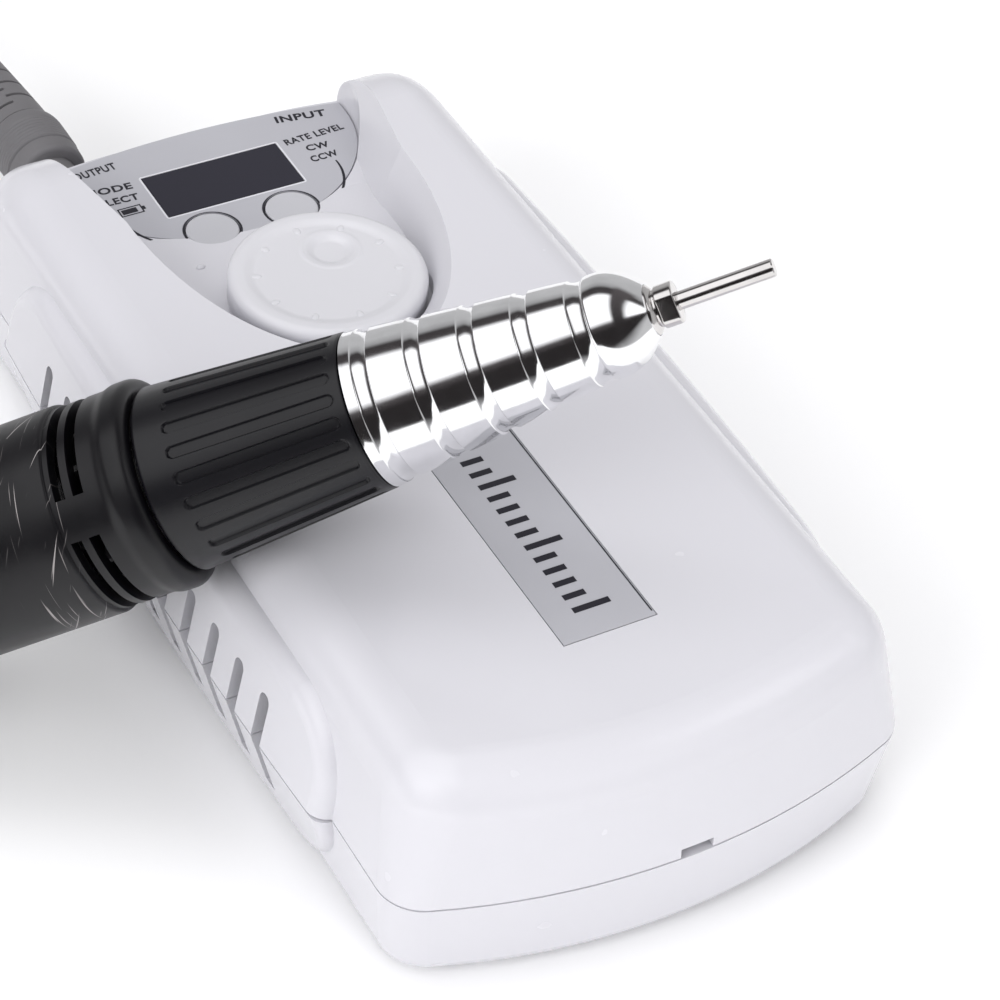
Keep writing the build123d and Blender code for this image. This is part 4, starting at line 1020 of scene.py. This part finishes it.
def flat_shape(name, outlines, z):
    """Thin black prints from closed outlines of (x, y) points in metres."""
    bm = bmesh.new()
    for outline in outlines:
        skin(bm, [[bm.verts.new((x, y, height)) for x, y in outline] for height in (z, z + PRINT_MM * MM)],
             caps=True)
    return new_object(name, finish_mesh(bm, name, 30.0), "case", PRINT_AND_SHADE_INK.material)


def ribbon(name, points, widths, z, closed=False, material=PRINT_AND_SHADE_INK.material):
    """Flat line of varying width along (x, y) points in millimetres, used for print and for a painted shadow
    line.
    """
    bm = bmesh.new()
    rings = []
    count = len(points)
    for k in range(count):
        before = Vector(points[(k - 1) % count] if closed else points[max(k - 1, 0)])
        after = Vector(points[(k + 1) % count] if closed else points[min(k + 1, count - 1)])
        ahead = (after - before).normalized()
        side = Vector((-ahead.y, ahead.x)) * widths[k] / 2
        place = Vector(points[k])
        ring = []
        top = z + PRINT_MM * MM
        for offset, height in ((side, z), (-side, z), (-side, top), (side, top)):
            spot = (place + offset) * MM
            ring.append(bm.verts.new((spot.x, spot.y, height)))
        rings.append(ring)
    skin(bm, rings, loop=closed, caps=not closed)
    return new_object(name, finish_mesh(bm, name, 30.0), "case", material)


def printed_word(name, text, start, end, height):
    """Raised print of a word from its baseline's ends and its letters' height, in millimetres."""
    curve = bpy.data.curves.new(name, "FONT")
    curve.body = text
    curve.extrude = 0.01
    curve.offset = 0.030
    curve.space_character = 1.1
    mesh = curve_mesh(curve)
    xs = [vertex.co.x for vertex in mesh.vertices]
    ys = [vertex.co.y for vertex in mesh.vertices]
    zs = [vertex.co.z for vertex in mesh.vertices]
    run = Vector(end) - Vector(start)
    size = Matrix.Diagonal((run.length * MM / (max(xs) - min(xs)), height * MM / (max(ys) - min(ys)),
                            PRINT_MM * MM / (max(zs) - min(zs)), 1))
    place = Matrix.Translation((start[0] * MM, start[1] * MM, PANEL_TOP))
    turn = Matrix.Rotation(math.atan2(run.y, run.x), 4, "Z")
    mesh.transform(place @ turn @ size @ Matrix.Translation((-min(xs), -min(ys), -min(zs))))
    mesh.name = name
    return new_object(name, mesh, "case", PRINT_AND_SHADE_INK.material)


# name, text, both ends of the baseline and the letters' height in millimetres
WORDS = (
    ("output", "OUTPUT", (-20.3, 71.0), (-13.3, 71.45), 1.75),
    ("input", "INPUT", (13.6, 72.2), (21.6, 71.0), 1.7),
    ("mode", "MODE", (-20.4, 66.5), (-13.1, 66.0), 1.6),
    ("select", "SELECT", (-20.6, 63.5), (-13.2, 63.2), 1.6),
    ("level", "%", (-20.2, 60.6), (-18.2, 60.6), 1.5),
    ("rate", "RATE LEVEL", (12.6, 66.4), (22.6, 66.8), 1.5),
    ("clockwise", "CW", (14.9, 63.8), (18.6, 63.6), 1.5),
    ("anticlockwise", "CCW", (14.4, 61.0), (18.9, 61.1), 1.5),
)
for label, *word in WORDS:
    printed_word(f"print_{label}", *word)


def key_lines():
    """Ring around each key, thin at its far side, and the curved line up to its words."""
    bend_x, bend_y, bend_radius = 7.6, 59.6, 10.2
    for side, key in ((-1, "mode_button"), (1, "direction_button")):
        low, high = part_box(key)
        x, y = (low.x + high.x) / 2 / MM, (low.y + high.y) / 2 / MM
        radius = (high.x - low.x) / 2 / MM + 0.33
        angles = spread(0, 2 * math.pi, 97)[:-1]
        circle = [(x + radius * math.cos(a), y + radius * math.sin(a)) for a in angles]
        widths = [0.30 - 0.19 * math.sin(a) ** 3 if a < math.pi else 0.30 for a in angles]
        ribbon(f"{key}_ring", circle, widths, PANEL_TOP, True)
        run = [(side * (bend_x + bend_radius * math.cos(a)), bend_y + bend_radius * math.sin(a))
               for a in spread(0.05, -1.22, 36)]
        thickness = [0.12 + 0.30 * math.sin(math.pi * min(1.0, 0.12 + k / 35)) for k in range(36)]
        ribbon(f"{key}_line", run, thickness, PANEL_TOP)


def battery_sign():
    """Small battery sign: an outline, its contents and its end contact."""
    x1, x2, y1, y2 = -17.4, -13.9, 60.2, 62.0
    corners = [(x1, y1), (x2, y1), (x2, y2), (x1, y2)]
    half = 0.22 / 2
    prints = [quad(min(xa, xb) - half, max(xa, xb) + half, min(ya, yb) - half, max(ya, yb) + half)
              for (xa, ya), (xb, yb) in zip(corners, corners[1:] + corners[:1])]
    prints.append(quad(x1 + 0.32, x2 - 0.75, y1 + 0.34, y2 - 0.34))
    prints.append(quad(x2 + 0.1, x2 + 0.55, y1 + 0.5, y2 - 0.5))
    flat_shape("battery_sign", prints, PANEL_TOP)


def display_border():
    """Thin pale line around the display window."""
    gap, corner, width = 0.28, 0.3, 0.3
    x1, y1 = GLASS_LOW.x / MM - gap, GLASS_LOW.y / MM - gap
    x2, y2 = GLASS_HIGH.x / MM + gap, GLASS_HIGH.y / MM + gap
    points = []
    for cx, cy, start in ((x2 - corner, y1 + corner, -90), (x2 - corner, y2 - corner, 0),
                          (x1 + corner, y2 - corner, 90), (x1 + corner, y1 + corner, 180)):
        points += [(cx + corner * math.cos(math.radians(a)), cy + corner * math.sin(math.radians(a)))
                   for a in spread(start, start + 90, 5)]
    ribbon("display_border", points, [width] * len(points), PANEL_TOP, True,
           PALE_INK.material)


key_lines()
battery_sign()
display_border()

# -------- name plate: a blank plate with a scale, and a painted gap shadow along its edge
PLATE_LOW, PLATE_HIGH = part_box("name_plate")
PLATE_MARGIN_MM, PLATE_TICKS, PLATE_TICK_PITCH_MM = 5.0, 13, 2.55
PLATE_LONG_MM, PLATE_SHORT_MM = 5.4, 3.2


def plate_scale():
    """Generic scale of long and short ticks along the plate, and a thin black line along its right edge that
    is painted shadow of the gap beside the plate.
    """
    ticks = []
    half_thick = 0.5
    left = (PLATE_LOW.x + PLATE_HIGH.x) / 2 / MM - PLATE_LONG_MM / 2
    for k in range(PLATE_TICKS):
        y = PLATE_LOW.y / MM + PLATE_MARGIN_MM + k * PLATE_TICK_PITCH_MM
        length = PLATE_LONG_MM if k % 5 == 0 else PLATE_SHORT_MM
        ticks.append(quad(left, left + length, y - half_thick, y + half_thick))
    flat_shape("plate_scale", ticks, PLATE_HIGH.z)
    # painted shadow: a black line standing in for the shade in the gap along the plate's right edge
    x = PLATE_HIGH.x / MM - 0.2
    edge = [(x, y) for y in spread(PLATE_LOW.y / MM + 0.8, PLATE_HIGH.y / MM - 0.8, 9)]
    ribbon("plate_edge_painted_gap_shadow", edge, [0.2] * len(edge), PLATE_HIGH.z)


plate_scale()

# -------- small moulded pip beside the knob
PIP_X, PIP_Y = -12.5 * MM, 43.0 * MM
pip_z = NODES["top_shell"].ray_cast(Vector((PIP_X, PIP_Y, 0.1)), Vector((0, 0, -1)))[1].z
new_object("scoop_pip", bump_mesh("scoop_pip", [(PIP_X, PIP_Y, pip_z, 0.3)], 0.75, 0.6, 0.35),
           "case", SHELL_WHITE.material)
